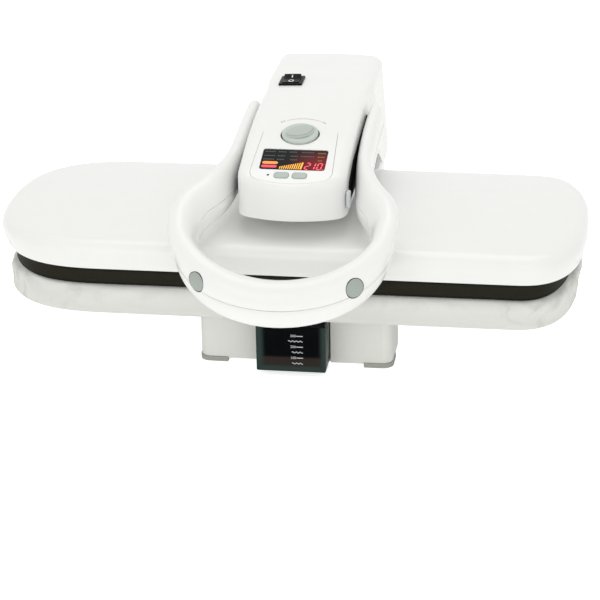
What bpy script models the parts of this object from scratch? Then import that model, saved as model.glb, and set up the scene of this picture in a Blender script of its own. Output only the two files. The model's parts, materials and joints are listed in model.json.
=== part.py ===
"""Steam ironing press with a swing-up arm, a ring handle and a pull-out water tank.

Metres, +Z up, the user in front at -Y. Pieces are modelled about the machine's centre plane
X = 0, and the frame empty moves them so that the origin is the bottom centre of the whole.
"""

import math

import bmesh
import bpy
from mathutils import Matrix, Vector

# Overall sizes
PLATE_REACH_LEFT = 0.3605
PLATE_REACH_RIGHT = 0.3335
PLATE_HALF_DEPTH = 0.1425
GRIP_FRONT = 0.251
HINGE_Y = 0.212
HINGE_SETBACK = 0.040
MACHINE_BACK = HINGE_Y + HINGE_SETBACK
GAP = 0.0003
RUN_GAP = 0.001
OVERRUN = 0.01

# Thicknesses from the table up
FOOT_HEIGHT = 0.0058
BASE_BOTTOM = 0.0045
BASE_TOP = 0.0738
BOARD_THICKNESS = 0.0361
SKIRT_RAISE = 0.0005
LIP_RAISE = 0.0205
COVER_SIDE_HEIGHT = 0.0303
COVER_CROWN = 0.011
ARM_CLEARANCE = 0.0175
ARM_DEPTH = 0.0846
PANEL_RISE = 0.0197

# Heights that follow from them
BOARD_TOP = BASE_TOP + BOARD_THICKNESS
SOLE_BOTTOM = BOARD_TOP + GAP
SKIRT_BOTTOM = SOLE_BOTTOM + SKIRT_RAISE
LIP_HEIGHT = SOLE_BOTTOM + LIP_RAISE
COVER_EDGE_HEIGHT = LIP_HEIGHT + COVER_SIDE_HEIGHT
COVER_TOP = COVER_EDGE_HEIGHT + COVER_CROWN
ARM_UNDERSIDE = COVER_TOP + ARM_CLEARANCE
ARM_TOP = ARM_UNDERSIDE + ARM_DEPTH
PANEL_BEND_HEIGHT = ARM_TOP - PANEL_RISE
HINGE_Z = ARM_UNDERSIDE

# Shape of the plate in plan, and how far its ends are drawn in below the widest line
PLATE_TAPER_LEFT = 0.144
PLATE_TAPER_RIGHT = 0.079
PLATE_POWER_LEFT = 2.42
PLATE_POWER_RIGHT = 2.65
EGG_STEPS = 9
SIDE_STEPS = 3
PULL_LENGTH = 0.105
LIP_PULL_LEFT = 0.0065
LIP_PULL_RIGHT = 0.0045
SKIRT_PULL_LEFT = 0.012
SKIRT_PULL_RIGHT = 0.0135

# Pressing plate
COVER_WALL = 0.0025
COVER_EDGE_RADIUS = 0.014
COVER_LEAN_SHARE = 0.035
COVER_MIDDLE_SHARE = 0.55
MIDDLE_PULL_SHARE = 0.35
EDGE_PULL_SHARE = 0.08
LIP_RADIUS = 0.001
SKIRT_INSET = 0.005
SKIRT_WALL = 0.003
SKIRT_HEIGHT = 0.0253
SOLE_THICKNESS = 0.006
SOLE_EDGE_RADIUS = 0.0015
STEAM_HOLE_RADIUS = 0.0016
STEAM_HOLE_PITCH = 0.048
STEAM_HOLES_IN_ROW = 9
STEAM_ROW_OFFSET = 0.088
SHIELD_INSET = 0.014
SHIELD_HEIGHT = 0.017
SHIELD_WALL = 0.001
HATCH_HALF_WIDTH = 0.0525
HATCH_FRONT = -0.034
HATCH_BACK = 0.070
ELEMENT_RADIUS = 0.004
ELEMENT_INSET = 0.068
ELEMENT_TERMINAL_HEIGHT = 0.009
CHAMBER_LENGTH = 0.150
CHAMBER_DEPTH = 0.086
CHAMBER_HEIGHT = 0.010
CHAMBER_PLACE = -0.022
CHAMBER_EDGE_RADIUS = 0.002
NOZZLE_RADIUS = 0.006
NOZZLE_HEIGHT = 0.008
THERMOSTAT_RADIUS = 0.009
THERMOSTAT_HEIGHT = 0.011
THERMOSTAT_PLACE = 0.105

# Board that the cloth lies on
BOARD_REACH_LEFT = 0.347
BOARD_REACH_RIGHT = 0.322
BOARD_HALF_DEPTH = 0.141
BOARD_TAPER_LEFT = 0.136
BOARD_TAPER_RIGHT = 0.074
BOARD_POWER = 2.7
CLOTH_WALL = 0.0015
CLOTH_LOWER_RADIUS = 0.006
CLOTH_UPPER_RADIUS = 0.012
CLOTH_HEM = 0.030
PAN_WALL = 0.0012
PAN_RIM_HEIGHT = 0.010
PAN_INSET = 0.012
FOAM_INSET = 0.013

# Base
BASE_HALF_WIDTH = 0.113
BASE_REAR_HALF_WIDTH = 0.071
BASE_FRONT = 0.094
BASE_STRAIGHT_END = -0.031
BASE_WALL = 0.003
BASE_CORNER_RADIUS = 0.012
BASE_REAR_RADIUS = 0.018
BASE_TOP_RADIUS = 0.004
FLOOR_THICKNESS = 0.0025
FOOT_LENGTH = 0.033
FOOT_PROUD = 0.0008
FRONT_CORNER_STEPS = 4

# Rear column and hinge of the arm
SHAFT_RADIUS = 0.008
COLUMN_HALF_WIDTH = 0.066
COLUMN_REACH = 0.042
COLUMN_SETBACK = 0.004
COLUMN_DROP = 0.041
COLUMN_FRONT = HINGE_Y - COLUMN_REACH
COLUMN_BACK = MACHINE_BACK - COLUMN_SETBACK
COLUMN_SHOULDER = HINGE_Z - COLUMN_DROP
COLUMN_WALL = 0.0025
COLUMN_EDGE_RADIUS = 0.010
HUB_HALF_WIDTH = 0.030
HUB_RADIUS = 0.030
BRACKET_HALF_WIDTH = 0.025
BRACKET_WALL = 0.004
BRACKET_EAR_RADIUS = 0.017
BRACKET_HALF_DEPTH = 0.026
BUSH_WALL = 0.0025
COLLAR_RADIUS = 0.0145
COLLAR_HALF_WIDTH = 0.003
SPRING_WIRE = 0.0013
SPRING_PITCH = 0.0031
SPRING_TURNS = 4
SPRING_CLEARANCE = 0.0006
TURN_POINTS = 8

# Swing arm
ARM_FRONT = 0.122
ARM_FRONT_BULGE = 0.016
ARM_TAIL_RADIUS = 0.038
ARM_BACK = HINGE_Y + ARM_TAIL_RADIUS
ARM_HEAD_HALF_WIDTH = 0.0625
ARM_TAIL_HALF_WIDTH = 0.0715
ARM_FLARE_START = 0.113
ARM_FLARE_END = 0.150
ARM_TAIL_LEAN_SHARE = 0.09
ARM_WALL = 0.0025
ARM_EDGE_RADIUS = 0.011
ARM_CORNER_RADIUS = 0.017
ARM_CROWN = 0.0022
ARM_DROP_START = 0.140
ARM_DROP_END = 0.200
BULGE_SHARES = (0, 0.25, 0.5, 0.72)
BULGE_EASE_SHARE = 0.15
PANEL_SLOPE = math.radians(15.2)
PANEL_BEND = -0.050
CREST_Y = 0.150
BROW_Y = -0.096
BROW_DROP = 0.0065
BROW_EDGE_SHARE = 0.3
ARM_LID_BACK = 0.158
ARM_LID_RAISE = 0.0012
FRAME_HALF_WIDTH = 0.037
FRAME_WALL = 0.003
FRAME_FRONT = 0.006
FRAME_NOSE_RAISE = 0.019
FRAME_NOSE_DEPTH = 0.040
FRAME_NOSE_LOW = ARM_UNDERSIDE + FRAME_NOSE_RAISE
FRAME_NOSE_HIGH = FRAME_NOSE_LOW + FRAME_NOSE_DEPTH
FRAME_BEND_Y = 0.110
FRAME_EAR_RADIUS = 0.018
FRAME_OPEN_Y = 0.168
POST_RADIUS = 0.004
POST_X = 0.018
POST_Y = 0.016
POST_CLEARANCE = 0.0005
POST_FOOT = COVER_TOP + POST_CLEARANCE
POST_COLLAR_RADIUS = 0.008
POST_COLLAR_HEIGHT = 0.003
LIFT_SPRING_WIRE = 0.0009
LIFT_SPRING_TURNS = 4
LIFT_SPRING_RADIUS = 0.0058

# Control panel on the arm
FASCIA_HALF_WIDTH = 0.0475
FASCIA_TOP_HALF_WIDTH = 0.043
FASCIA_FRONT = -0.1090
FASCIA_FRONT_BULGE = 0.0070
FASCIA_SHOULDER = -0.020
FASCIA_CREST = 0.018
FASCIA_CORNER_RADIUS = 0.010
FASCIA_WALL = 0.002
FASCIA_PROUD = 0.0003
WINDOW_WIDTH = 0.0745
WINDOW_DEPTH = 0.0405
WINDOW_CENTRE = -0.0770
WINDOW_RADIUS = 0.0035
WINDOW_THICKNESS = 0.002
KNOB_RADIUS = 0.0225
KNOB_Y = -0.0275
KNOB_RIM_HEIGHT = 0.0032
KNOB_SKIRT_DEPTH = 0.0035
KNOB_GRIP_HEIGHT = 0.0055
KNOB_GRIP_HALF_WIDTH = 0.0075
KNOB_GRIP_ANGLE = math.radians(38)
KNOB_DISH_SHARE = 0.8
KNOB_SHOULDER_SHARE = 0.94
KNOB_GRIP_SHARE = 0.93
KNOB_STEM_RADIUS = 0.003
KNOB_STEM_LENGTH = 0.009
CONTROL_BODY_RADIUS = 0.009
CONTROL_BODY_HEIGHT = 0.008
KEY_WIDTH = 0.0165
KEY_DEPTH = 0.0092
KEY_PITCH = 0.0205
KEY_Y = -0.1055
KEY_HEIGHT = 0.005
KEY_PROUD = 0.0014
KEY_CORNER_SHARE = 0.42
LED_RADIUS = 0.0013
LED_X = -0.0255
LED_HEIGHT = 0.004
CIRCUIT_WIDTH = 0.084
CIRCUIT_DEPTH = 0.052
CIRCUIT_THICKNESS = 0.0016
CIRCUIT_DROP = 0.0075
CIRCUIT_CENTRE = -0.0795

# Mains rocker switch
SWITCH_X = -0.0325
SWITCH_Y = 0.126
SWITCH_WIDTH = 0.0285
SWITCH_LENGTH = 0.032
SWITCH_FLANGE = 0.0022
SWITCH_LIP = 0.0015
SWITCH_BODY_DEPTH = 0.018
ROCKER_WIDTH = 0.0205
ROCKER_LENGTH = 0.0256
ROCKER_RISE = 0.0026
ROCKER_DIP = 0.0012
ROCKER_DEPTH = 0.0085
ROCKER_PIVOT_DROP = 0.0035
ROCKER_TILT = math.radians(8)

# Ring handle
PIVOT_Y = 0.045
PIVOT_RAISE = 0.043
PIVOT_Z = ARM_UNDERSIDE + PIVOT_RAISE
PIVOT_X = 0.0735
RING_HALF_WIDTH = 0.112
RING_Y = -0.165
RING_DROP = 0.043
GRIP_DROP = 0.054
RING_Z = PIVOT_Z - RING_DROP
GRIP_CENTRE_Z = RING_Z - GRIP_DROP
GRIP_HALF_HEIGHT = 0.0265
RING_HALF_HEIGHT = 0.0255
GRIP_HALF_DEPTH = 0.0190
CHEEK_HALF_HEIGHT = 0.0250
CHEEK_HALF_THICKNESS = 0.0095
RING_HALF_THICKNESS = 0.0140
TAIL_LENGTH = 0.040
TAIL_RISE = 0.0025
SECTION_POWER = 2.4
PARTING_SHARE = 0.28
FRONT_STEPS = 8
UPPER_STEPS = 8
LOWER_STEPS = 5
HANDLE_WALL = 0.0022
CORE_SHARE = 0.34
HANDLE_SHAFT_RADIUS = 0.006
HUB_OUTER_RADIUS = 0.0115
CAM_OFFSET = 0.018
CAM_LEAD = math.radians(55)
CAM_HALF_WIDTH = 0.003
CAM_X = 0.0425
BUTTON_ARC = math.radians(44.5)
BUTTON_RAISE = 0.0042
BUTTON_WIDTH = 0.0180
BUTTON_HEIGHT = 0.0245
BUTTON_DEPTH = 0.0075
BUTTON_PROUD = 0.0011
BUTTON_BALL = 0.0012

# Pressure bridge between the cams and the sole plate
BRIDGE_HALF_WIDTH = 0.048
BRIDGE_FRONT = 0.004
BRIDGE_BACK = 0.062
BRIDGE_RAISE = 0.008
BRIDGE_TOP = ARM_UNDERSIDE + BRIDGE_RAISE
BRIDGE_WALL = 0.004

# Carry lock on the side of the head
LOCK_Y = -0.097
LOCK_RAISE = 0.020
LOCK_Z = ARM_UNDERSIDE + LOCK_RAISE
LOCK_HEIGHT = 0.019
LOCK_LENGTH = 0.011
LOCK_PROUD = 0.0045
LOCK_TRAVEL = 0.006
LOCK_STEM_HEIGHT = 0.006
LOCK_HEAD_WALL = 0.002

# Water tank and what it plugs into
TANK_HALF_WIDTH = 0.0404
TANK_FRONT = 0.1305
TANK_BACK = 0.030
TANK_BOTTOM = 0.0068
TANK_STEP = 0.0043
TANK_HEIGHT = 0.0592
TANK_RAISED_BOTTOM = TANK_BOTTOM + TANK_STEP
TANK_TOP = TANK_BOTTOM + TANK_HEIGHT
TANK_WALL = 0.0022
TANK_EDGE_RADIUS = 0.004
TANK_FACE_GAP = 0.0015
LID_THICKNESS = 0.003
FILLER_RADIUS = 0.011
FILLER_Y = -0.108
PLUG_RIM = 0.0025
PLUG_HEIGHT = 0.0035
PLUG_DEPTH = 0.005
SPOUT_RADIUS = 0.005
SPOUT_BORE = 0.0033
SPOUT_LENGTH = 0.010
SPOUT_RAISE = 0.0157
SPOUT_Z = TANK_BOTTOM + SPOUT_RAISE
BAY_WALL = 0.002
BAY_CLEARANCE = 0.0008
DOCK_WIDTH = 0.034
DOCK_DEPTH = 0.018
DOCK_HEIGHT = 0.034
SEAL_WALL = 0.002
SEAL_LENGTH = 0.006
PUMP_RADIUS = 0.017
PUMP_LENGTH = 0.050
PUMP_X = -0.040
PUMP_Y = 0.122
HOSE_RADIUS = 0.0035
HOSE_START_SHARE = 0.12
HOSE_END_SHARE = 0.88
POWER_BOARD_WIDTH = 0.052
POWER_BOARD_DEPTH = 0.084
POWER_BOARD_X = 0.046
POWER_BOARD_Y = 0.096
RELAY_SIDE = 0.018
DRUM_PLACE_SHARE = 1.3
INLET_RADIUS = 0.0085
INLET_BORE = 0.0042
INLET_FLANGE = 0.0025
INLET_LENGTH = 0.016
INLET_X = -0.035
INLET_Z = 0.030

# Where the origin goes: the bottom centre of the box around the closed press
ORIGIN_X = (PLATE_REACH_LEFT - PLATE_REACH_RIGHT) / 2
ORIGIN_Y = (GRIP_FRONT - MACHINE_BACK - INLET_FLANGE) / 2

for old in list(bpy.data.objects):
    bpy.data.objects.remove(old, do_unlink=True)

parts = bpy.data.collections.new("steam_ironing_press")
cutters = bpy.data.collections.new("cutters")
bpy.context.scene.collection.children.link(parts)
bpy.context.scene.collection.children.link(cutters)


def finish_material(name, colour, roughness, metallic=0.0, alpha=1.0):
    """A Principled material from a plain colour"""
    made = bpy.data.materials.new(name)
    made.use_nodes = True
    shader = made.node_tree.nodes["Principled BSDF"]
    shader.inputs["Base Color"].default_value = (*colour, 1.0)
    shader.inputs["Roughness"].default_value = roughness
    shader.inputs["Metallic"].default_value = metallic
    shader.inputs["Alpha"].default_value = alpha
    made.diffuse_color = (*colour, alpha)
    return made


WHITE = finish_material("white_gloss", (0.86, 0.87, 0.88), 0.25)
BASE_WHITE = finish_material("base_white", (0.80, 0.80, 0.77), 0.35)
GREY = finish_material("silver_grey", (0.42, 0.46, 0.44), 0.35)
RUBBER = finish_material("grey_rubber", (0.40, 0.41, 0.40), 0.7)
SKIRT_DARK = finish_material("heat_dark", (0.035, 0.032, 0.022), 0.45)
BLACK = finish_material("black_gloss", (0.01, 0.01, 0.01), 0.15)
CLOTH = finish_material("board_cloth", (0.70, 0.69, 0.66), 0.9)
FOAM = finish_material("foam", (0.75, 0.66, 0.42), 0.95)
STEEL = finish_material("steel", (0.55, 0.56, 0.58), 0.35, 1.0)
ALUMINIUM = finish_material("aluminium", (0.72, 0.73, 0.74), 0.3, 1.0)
BRASS = finish_material("brass", (0.70, 0.52, 0.25), 0.35, 1.0)
SMOKE = finish_material("smoked_clear", (0.03, 0.04, 0.05), 0.08, 0.0, 0.6)
CIRCUIT = finish_material("circuit_green", (0.03, 0.20, 0.09), 0.5)
SILICONE = finish_material("silicone", (0.55, 0.20, 0.12), 0.6)
NATURAL = finish_material("natural_plastic", (0.72, 0.72, 0.68), 0.5)


def empty(name, place, parent=None):
    """A body's own frame: its location is on the joint's axis"""
    made = bpy.data.objects.new(name, None)
    parts.objects.link(made)
    made.parent = parent
    made.location = place
    return made


FRAME = empty("frame", (ORIGIN_X, ORIGIN_Y, 0))
BODY_PLACES = {
    "base": (0, 0, 0),
    "tank": (0, -TANK_FRONT, TANK_BOTTOM),
    "arm": (0, HINGE_Y, HINGE_Z),
}
ARM_BODY_PLACES = {
    "handle": (0, PIVOT_Y, PIVOT_Z),
    "plate": (0, 0, SOLE_BOTTOM),
}
bodies = {name: empty(name + "_body", place, FRAME) for name, place in BODY_PLACES.items()}
places = dict(BODY_PLACES)


def add_body(name, parent, place):
    """A moving body carried by another, placed by its point in the machine's frame"""
    offset = Vector(place) - Vector(places[parent])
    bodies[name] = empty(name + "_body", offset, bodies[parent])
    places[name] = place


for body_name, body_place in ARM_BODY_PLACES.items():
    add_body(body_name, "arm", body_place)


def keep(made, name, surface, body):
    """Gives a finished piece its name, material, collection and body"""
    made.name = name
    made.data.name = name
    made.data.materials.clear()
    made.data.materials.append(surface)
    for group in list(made.users_collection):
        group.objects.unlink(made)
    parts.objects.link(made)
    made.data.transform(Matrix.Translation(-Vector(places[body])) @ made.matrix_world)
    made.matrix_world = Matrix.Identity(4)
    made.parent = bodies[body]
    made.data.shade_smooth()
    made.data.set_sharp_from_angle(angle=math.radians(32))
    return made


def put_aside(made):
    """Marks an object as a cutter or guide"""
    for group in list(made.users_collection):
        group.objects.unlink(made)
    cutters.objects.link(made)
    made.hide_render = True
    made.display_type = "WIRE"
    return made


def freeze(made):
    """Replaces an object by the mesh that its modifiers or its curve give, in world places"""
    bpy.context.view_layer.update()
    graph = bpy.context.evaluated_depsgraph_get()
    mesh = bpy.data.meshes.new_from_object(made.evaluated_get(graph))
    mesh.transform(made.matrix_world)
    work = bmesh.new()
    work.from_mesh(mesh)
    bmesh.ops.remove_doubles(work, verts=work.verts, dist=GAP / 30)
    work.to_mesh(mesh)
    work.free()
    frozen = bpy.data.objects.new(made.name, mesh)
    bpy.context.scene.collection.objects.link(frozen)
    bpy.data.objects.remove(made, do_unlink=True)
    return frozen


def bevel(made, width, steps=2, angle=35):
    """Rounds the edges sharper than the angle"""
    rounding = made.modifiers.new("bevel", "BEVEL")
    rounding.width = width
    rounding.segments = steps
    rounding.limit_method = "ANGLE"
    rounding.angle_limit = math.radians(angle)
    return made


def block(size, centre, turn=None, edge=0, steps=2):
    """A box from the cube primitive, with its scale applied"""
    bpy.ops.mesh.primitive_cube_add(size=1)
    made = bpy.context.object
    made.data.transform(Matrix.Diagonal((*size, 1)))
    if edge:
        bevel(made, edge, steps)
        made = freeze(made)
    made.data.transform((Matrix.Translation(centre)) @ (turn or Matrix.Identity(4)))
    return made


def between(low, high, edge=0, steps=2):
    """A box from its lowest to its highest corner"""
    low, high = Vector(low), Vector(high)
    return block(high - low, (low + high) / 2, None, edge, steps)


ALONG_X = Matrix.Rotation(math.pi / 2, 4, "Y")
ALONG_Y = Matrix.Rotation(-math.pi / 2, 4, "X")
ALONG_Z = Matrix.Identity(4)


def rod(radius, length, centre, turn=ALONG_X, sides=20):
    """A cylinder centred on a point"""
    bpy.ops.mesh.primitive_cylinder_add(radius=radius, depth=length, vertices=sides)
    made = bpy.context.object
    made.data.transform(Matrix.Translation(centre) @ turn)
    return made


def turned(profile, place, turn=ALONG_Z, sides=20):
    """A turned shape: the profile's points (radius, height) run down its outer side"""
    mesh = bpy.data.meshes.new("turned")
    mesh.from_pydata([(r, 0, h) for r, h in profile], [(i, i + 1) for i in range(len(profile) - 1)], [])
    made = bpy.data.objects.new("turned", mesh)
    bpy.context.scene.collection.objects.link(made)
    screw = made.modifiers.new("screw", "SCREW")
    screw.steps = screw.render_steps = sides
    screw.use_merge_vertices = True
    screw.merge_threshold = GAP / 10
    made = freeze(made)
    made.data.transform(Matrix.Translation(place) @ turn)
    return made


def prism(points, thickness, centre=(0, 0, 0), turn=ALONG_Z):
    """A flat outline extruded both ways by half its thickness"""
    curve = bpy.data.curves.new("outline", "CURVE")
    curve.dimensions = "2D"
    curve.fill_mode = "BOTH"
    curve.extrude = thickness / 2
    line = curve.splines.new("POLY")
    line.points.add(len(points) - 1)
    for point, (x, y) in zip(line.points, points):
        point.co = (x, y, 0, 1)
    line.use_cyclic_u = True
    made = bpy.data.objects.new("outline", curve)
    bpy.context.scene.collection.objects.link(made)
    made = freeze(made)
    made.data.transform(Matrix.Translation(centre) @ turn)
    return made


# Turns an outline drawn as (y, z) so that it stands in the plane of the machine's side view
SIDE_VIEW = Matrix(((0, 0, 1, 0), (1, 0, 0, 0), (0, 1, 0, 0), (0, 0, 0, 1)))
# Turns an outline drawn as (x, z) so that it stands in the plane of the front view
FRONT_VIEW = Matrix(((1, 0, 0, 0), (0, 0, -1, 0), (0, 1, 0, 0), (0, 0, 0, 1)))


def tube(points, radius, roundness=2):
    """A filled tube along points"""
    curve = bpy.data.curves.new("tube", "CURVE")
    curve.dimensions = "3D"
    curve.bevel_depth = radius
    curve.bevel_resolution = roundness
    curve.use_fill_caps = True
    line = curve.splines.new("POLY")
    line.points.add(len(points) - 1)
    for point, place in zip(line.points, points):
        point.co = (*place, 1)
    made = bpy.data.objects.new("tube", curve)
    bpy.context.scene.collection.objects.link(made)
    return freeze(made)


def boolean(made, tools, operation="DIFFERENCE"):
    """Cuts or joins with each tool in turn, and freezes the result"""
    for tool in tools:
        put_aside(tool)
        change = made.modifiers.new("boolean", "BOOLEAN")
        change.operation = operation
        change.solver = "EXACT"
        change.object = tool
    made = freeze(made)
    for tool in tools:
        bpy.data.objects.remove(tool, do_unlink=True)
    return made


def join(made, tools):
    return boolean(made, tools, "UNION")


def arc(centre, radius, start, end, steps):
    """Points on an arc, both ends included, angles in degrees"""
    angles = [math.radians(start + (end - start) * i / steps) for i in range(steps + 1)]
    return [(centre[0] + radius * math.cos(a), centre[1] + radius * math.sin(a)) for a in angles]


def rounded(corners, steps=3):
    """An open line through (x, y, radius) corners, each rounded by its radius"""
    line = []
    for i, (x, y, radius) in enumerate(corners):
        here = Vector((x, y))
        if not radius or i in (0, len(corners) - 1):
            line.append(here)
            continue
        before = (Vector(corners[i - 1][:2]) - here).normalized()
        after = (Vector(corners[i + 1][:2]) - here).normalized()
        half = before.angle(after) / 2
        reach = radius / math.tan(half)
        middle = here + (before + after).normalized() * radius / math.sin(half)
        first, last = here + before * reach - middle, here + after * reach - middle
        swing = first.angle_signed(last)
        for k in range(steps + 1):
            line.append(middle + Matrix.Rotation(-swing * k / steps, 2) @ first)
    return [tuple(point) for point in line]


def rounded_box(width, depth, radius, steps=3):
    """A closed rounded rectangle about the origin"""
    x, y = width / 2 - radius, depth / 2 - radius
    corners = ((x, y, 0), (-x, y, 90), (-x, -y, 180), (x, -y, 270))
    return [p for cx, cy, start in corners for p in arc((cx, cy), radius, start, start + 90, steps)]


def inset_line(outline, inset):
    """Moves a half outline inward, its two ends along the mirror line"""
    moved = []
    for i, (u, w) in enumerate(outline):
        reach = inset(u) if callable(inset) else inset
        before, after = outline[max(i - 1, 0)], outline[min(i + 1, len(outline) - 1)]
        run = Vector((after[0] - before[0], after[1] - before[1])).normalized()
        normal = Vector((-run.y, run.x))
        if i == 0:
            normal = Vector((-1, 0))
        if i == len(outline) - 1:
            normal = Vector((1, 0))
        moved.append((u - normal.x * reach, w - normal.y * reach))
    return moved


def merge_flat_faces(work):
    """Merges faces without area, such as those on a straight end, into their neighbours"""
    thin = [face for face in work.faces if face.calc_area() < GAP * GAP / 10]
    while thin:
        longest = max(thin[0].edges, key=lambda edge: edge.calc_length())
        if longest.is_boundary:
            bmesh.ops.delete(work, geom=[longest], context="EDGES")
        else:
            bmesh.ops.dissolve_edges(work, edges=[longest], use_verts=False)
        thin = [face for face in work.faces if face.calc_area() < GAP * GAP / 10]


def skin(outline, rows, wall, along="x", upward=True):
    """A shell: rows of a half outline, mirrored and thickened inward.

    A row is (inset, share of the half width kept, height function of place), and for the plate
    also the share of the lip's pull at the ends.
    """
    work = bmesh.new()
    grid = []
    for inset, share, height, *pull in rows:
        line = []
        for u, w in inset_line(outline, inset):
            if pull:
                u = drawn_in(u, LIP_PULL_LEFT * pull[0], LIP_PULL_RIGHT * pull[0])
            w = max(w, 0) * (share(u) if callable(share) else share)
            place = (u, w, height(u, w)) if along == "x" else (w, u, height(u, w))
            line.append(work.verts.new(place))
        grid.append(line)
    for low, high in zip(grid, grid[1:]):
        for i in range(len(low) - 1):
            work.faces.new((low[i], low[i + 1], high[i + 1], high[i]))
    bmesh.ops.remove_doubles(work, verts=work.verts, dist=GAP / 10)
    merge_flat_faces(work)
    work.normal_update()
    flat = max(work.faces, key=lambda face: abs(face.normal.z) * face.calc_area())
    if (flat.normal.z > 0) != upward:
        bmesh.ops.reverse_faces(work, faces=work.faces)
    mesh = bpy.data.meshes.new("skin")
    work.to_mesh(mesh)
    work.free()
    made = bpy.data.objects.new("skin", mesh)
    bpy.context.scene.collection.objects.link(made)
    mirror = made.modifiers.new("mirror", "MIRROR")
    mirror.use_axis = (along != "x", along == "x", False)
    mirror.merge_threshold = GAP / 10
    thicken = made.modifiers.new("solidify", "SOLIDIFY")
    thicken.thickness = wall
    thicken.offset = -1
    return freeze(made)


def without_straight_points(ring):
    """A closed outline without the points that lie on a straight side"""
    kept = []
    for i, point in enumerate(ring):
        before, after = Vector(ring[i - 1]), Vector(ring[(i + 1) % len(ring)])
        here = Vector(point)
        if abs((here - before).normalized().cross((after - here).normalized())) > GAP:
            kept.append(point)
    return kept


def slab(outline, low, high, along="x", edge=0):
    """A solid plate with a mirrored half outline"""
    other = [(u, -w) for u, w in reversed(outline[1:-1])]
    ring = without_straight_points(outline + other)
    if along != "x":
        ring = [(w, u) for u, w in ring]
    made = prism(ring, high - low, (0, 0, (low + high) / 2))
    if edge:
        bevel(made, edge, 1)
        made = freeze(made)
    return made


def level(height):
    return lambda u, w: height


def smooth_share(value, start, end):
    """0 before start, 1 after end, an even S between"""
    share = min(max((value - start) / (end - start), 0), 1)
    return share * share * (3 - 2 * share)


def egg(reaches, tapers, powers, half_depth, inset=0):
    """Half outline of the plate or board: tapered at the left end, blunt at the right"""
    line = []
    deep = half_depth - inset
    for reach, taper, power, side in zip(reaches, tapers, powers, (-1, 1)):
        turn = []
        for i in range(EGG_STEPS + 1):
            angle = math.pi / 2 * i / EGG_STEPS
            out = abs(math.cos(angle)) ** (2 / power)
            rise = abs(math.sin(angle)) ** (2 / power)
            turn.append((side * (reach - taper + (taper - inset) * out), deep * rise if i else 0))
        line.append(turn)
    start, end = line[0][-1][0], line[1][-1][0]
    middle = [(start + (end - start) * i / SIDE_STEPS, deep) for i in range(1, SIDE_STEPS)]
    return line[0] + middle + line[1][::-1]


def plate_outline(inset=0):
    return egg((PLATE_REACH_LEFT, PLATE_REACH_RIGHT), (PLATE_TAPER_LEFT, PLATE_TAPER_RIGHT),
               (PLATE_POWER_LEFT, PLATE_POWER_RIGHT), PLATE_HALF_DEPTH, inset)


def board_outline(inset=0):
    return egg((BOARD_REACH_LEFT, BOARD_REACH_RIGHT), (BOARD_TAPER_LEFT, BOARD_TAPER_RIGHT),
               (BOARD_POWER, BOARD_POWER), BOARD_HALF_DEPTH, inset)


def drawn_in(u, left, right):
    """A place along the plate, moved inward near the two ends"""
    near_left = smooth_share(-u, PLATE_REACH_LEFT - PULL_LENGTH, PLATE_REACH_LEFT)
    near_right = smooth_share(u, PLATE_REACH_RIGHT - PULL_LENGTH, PLATE_REACH_RIGHT)
    return u + left * near_left - right * near_right


def under_plate_outline(inset):
    """Half outline of what hangs under the cover, its ends drawn in like the skirt's"""
    return [(drawn_in(u, SKIRT_PULL_LEFT, SKIRT_PULL_RIGHT), w) for u, w in plate_outline(inset)]


# Base housing, floor and feet
def base_outline(inset=0, proud=0):
    """Half outline of the base in plan: wide in front, narrowing to the column"""
    corners = [(-BASE_FRONT - proud + inset, 0, 0),
               (-BASE_FRONT - proud + inset, BASE_HALF_WIDTH + proud - inset, BASE_CORNER_RADIUS),
               (BASE_STRAIGHT_END, BASE_HALF_WIDTH + proud - inset, BASE_CORNER_RADIUS),
               (MACHINE_BACK + proud - inset, BASE_REAR_HALF_WIDTH + proud - inset, BASE_REAR_RADIUS),
               (MACHINE_BACK + proud - inset, 0, 0)]
    return rounded(corners, FRONT_CORNER_STEPS)


def foot_boxes(clearance):
    """Corner boxes in which the four feet lie: name, low and high corners"""
    front = -BASE_FRONT - OVERRUN
    low, high = -OVERRUN, FOOT_HEIGHT + clearance
    reach = FOOT_LENGTH + clearance
    wide, narrow = BASE_HALF_WIDTH + OVERRUN, BASE_REAR_HALF_WIDTH + OVERRUN
    found = []
    for side, label in ((-1, "left"), (1, "right")):
        inner, outer = BASE_HALF_WIDTH - reach, wide
        found.append(("foot_front_" + label, sorted((side * inner, side * outer)),
                      (front, -BASE_FRONT + reach), (low, high)))
        inner, outer = BASE_REAR_HALF_WIDTH - reach, narrow
        found.append(("foot_rear_" + label, sorted((side * inner, side * outer)),
                      (MACHINE_BACK - reach, MACHINE_BACK + OVERRUN), (low, high)))
    return found


def corner_box(xs, ys, zs):
    return between((xs[0], ys[0], zs[0]), (xs[1], ys[1], zs[1]))


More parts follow.
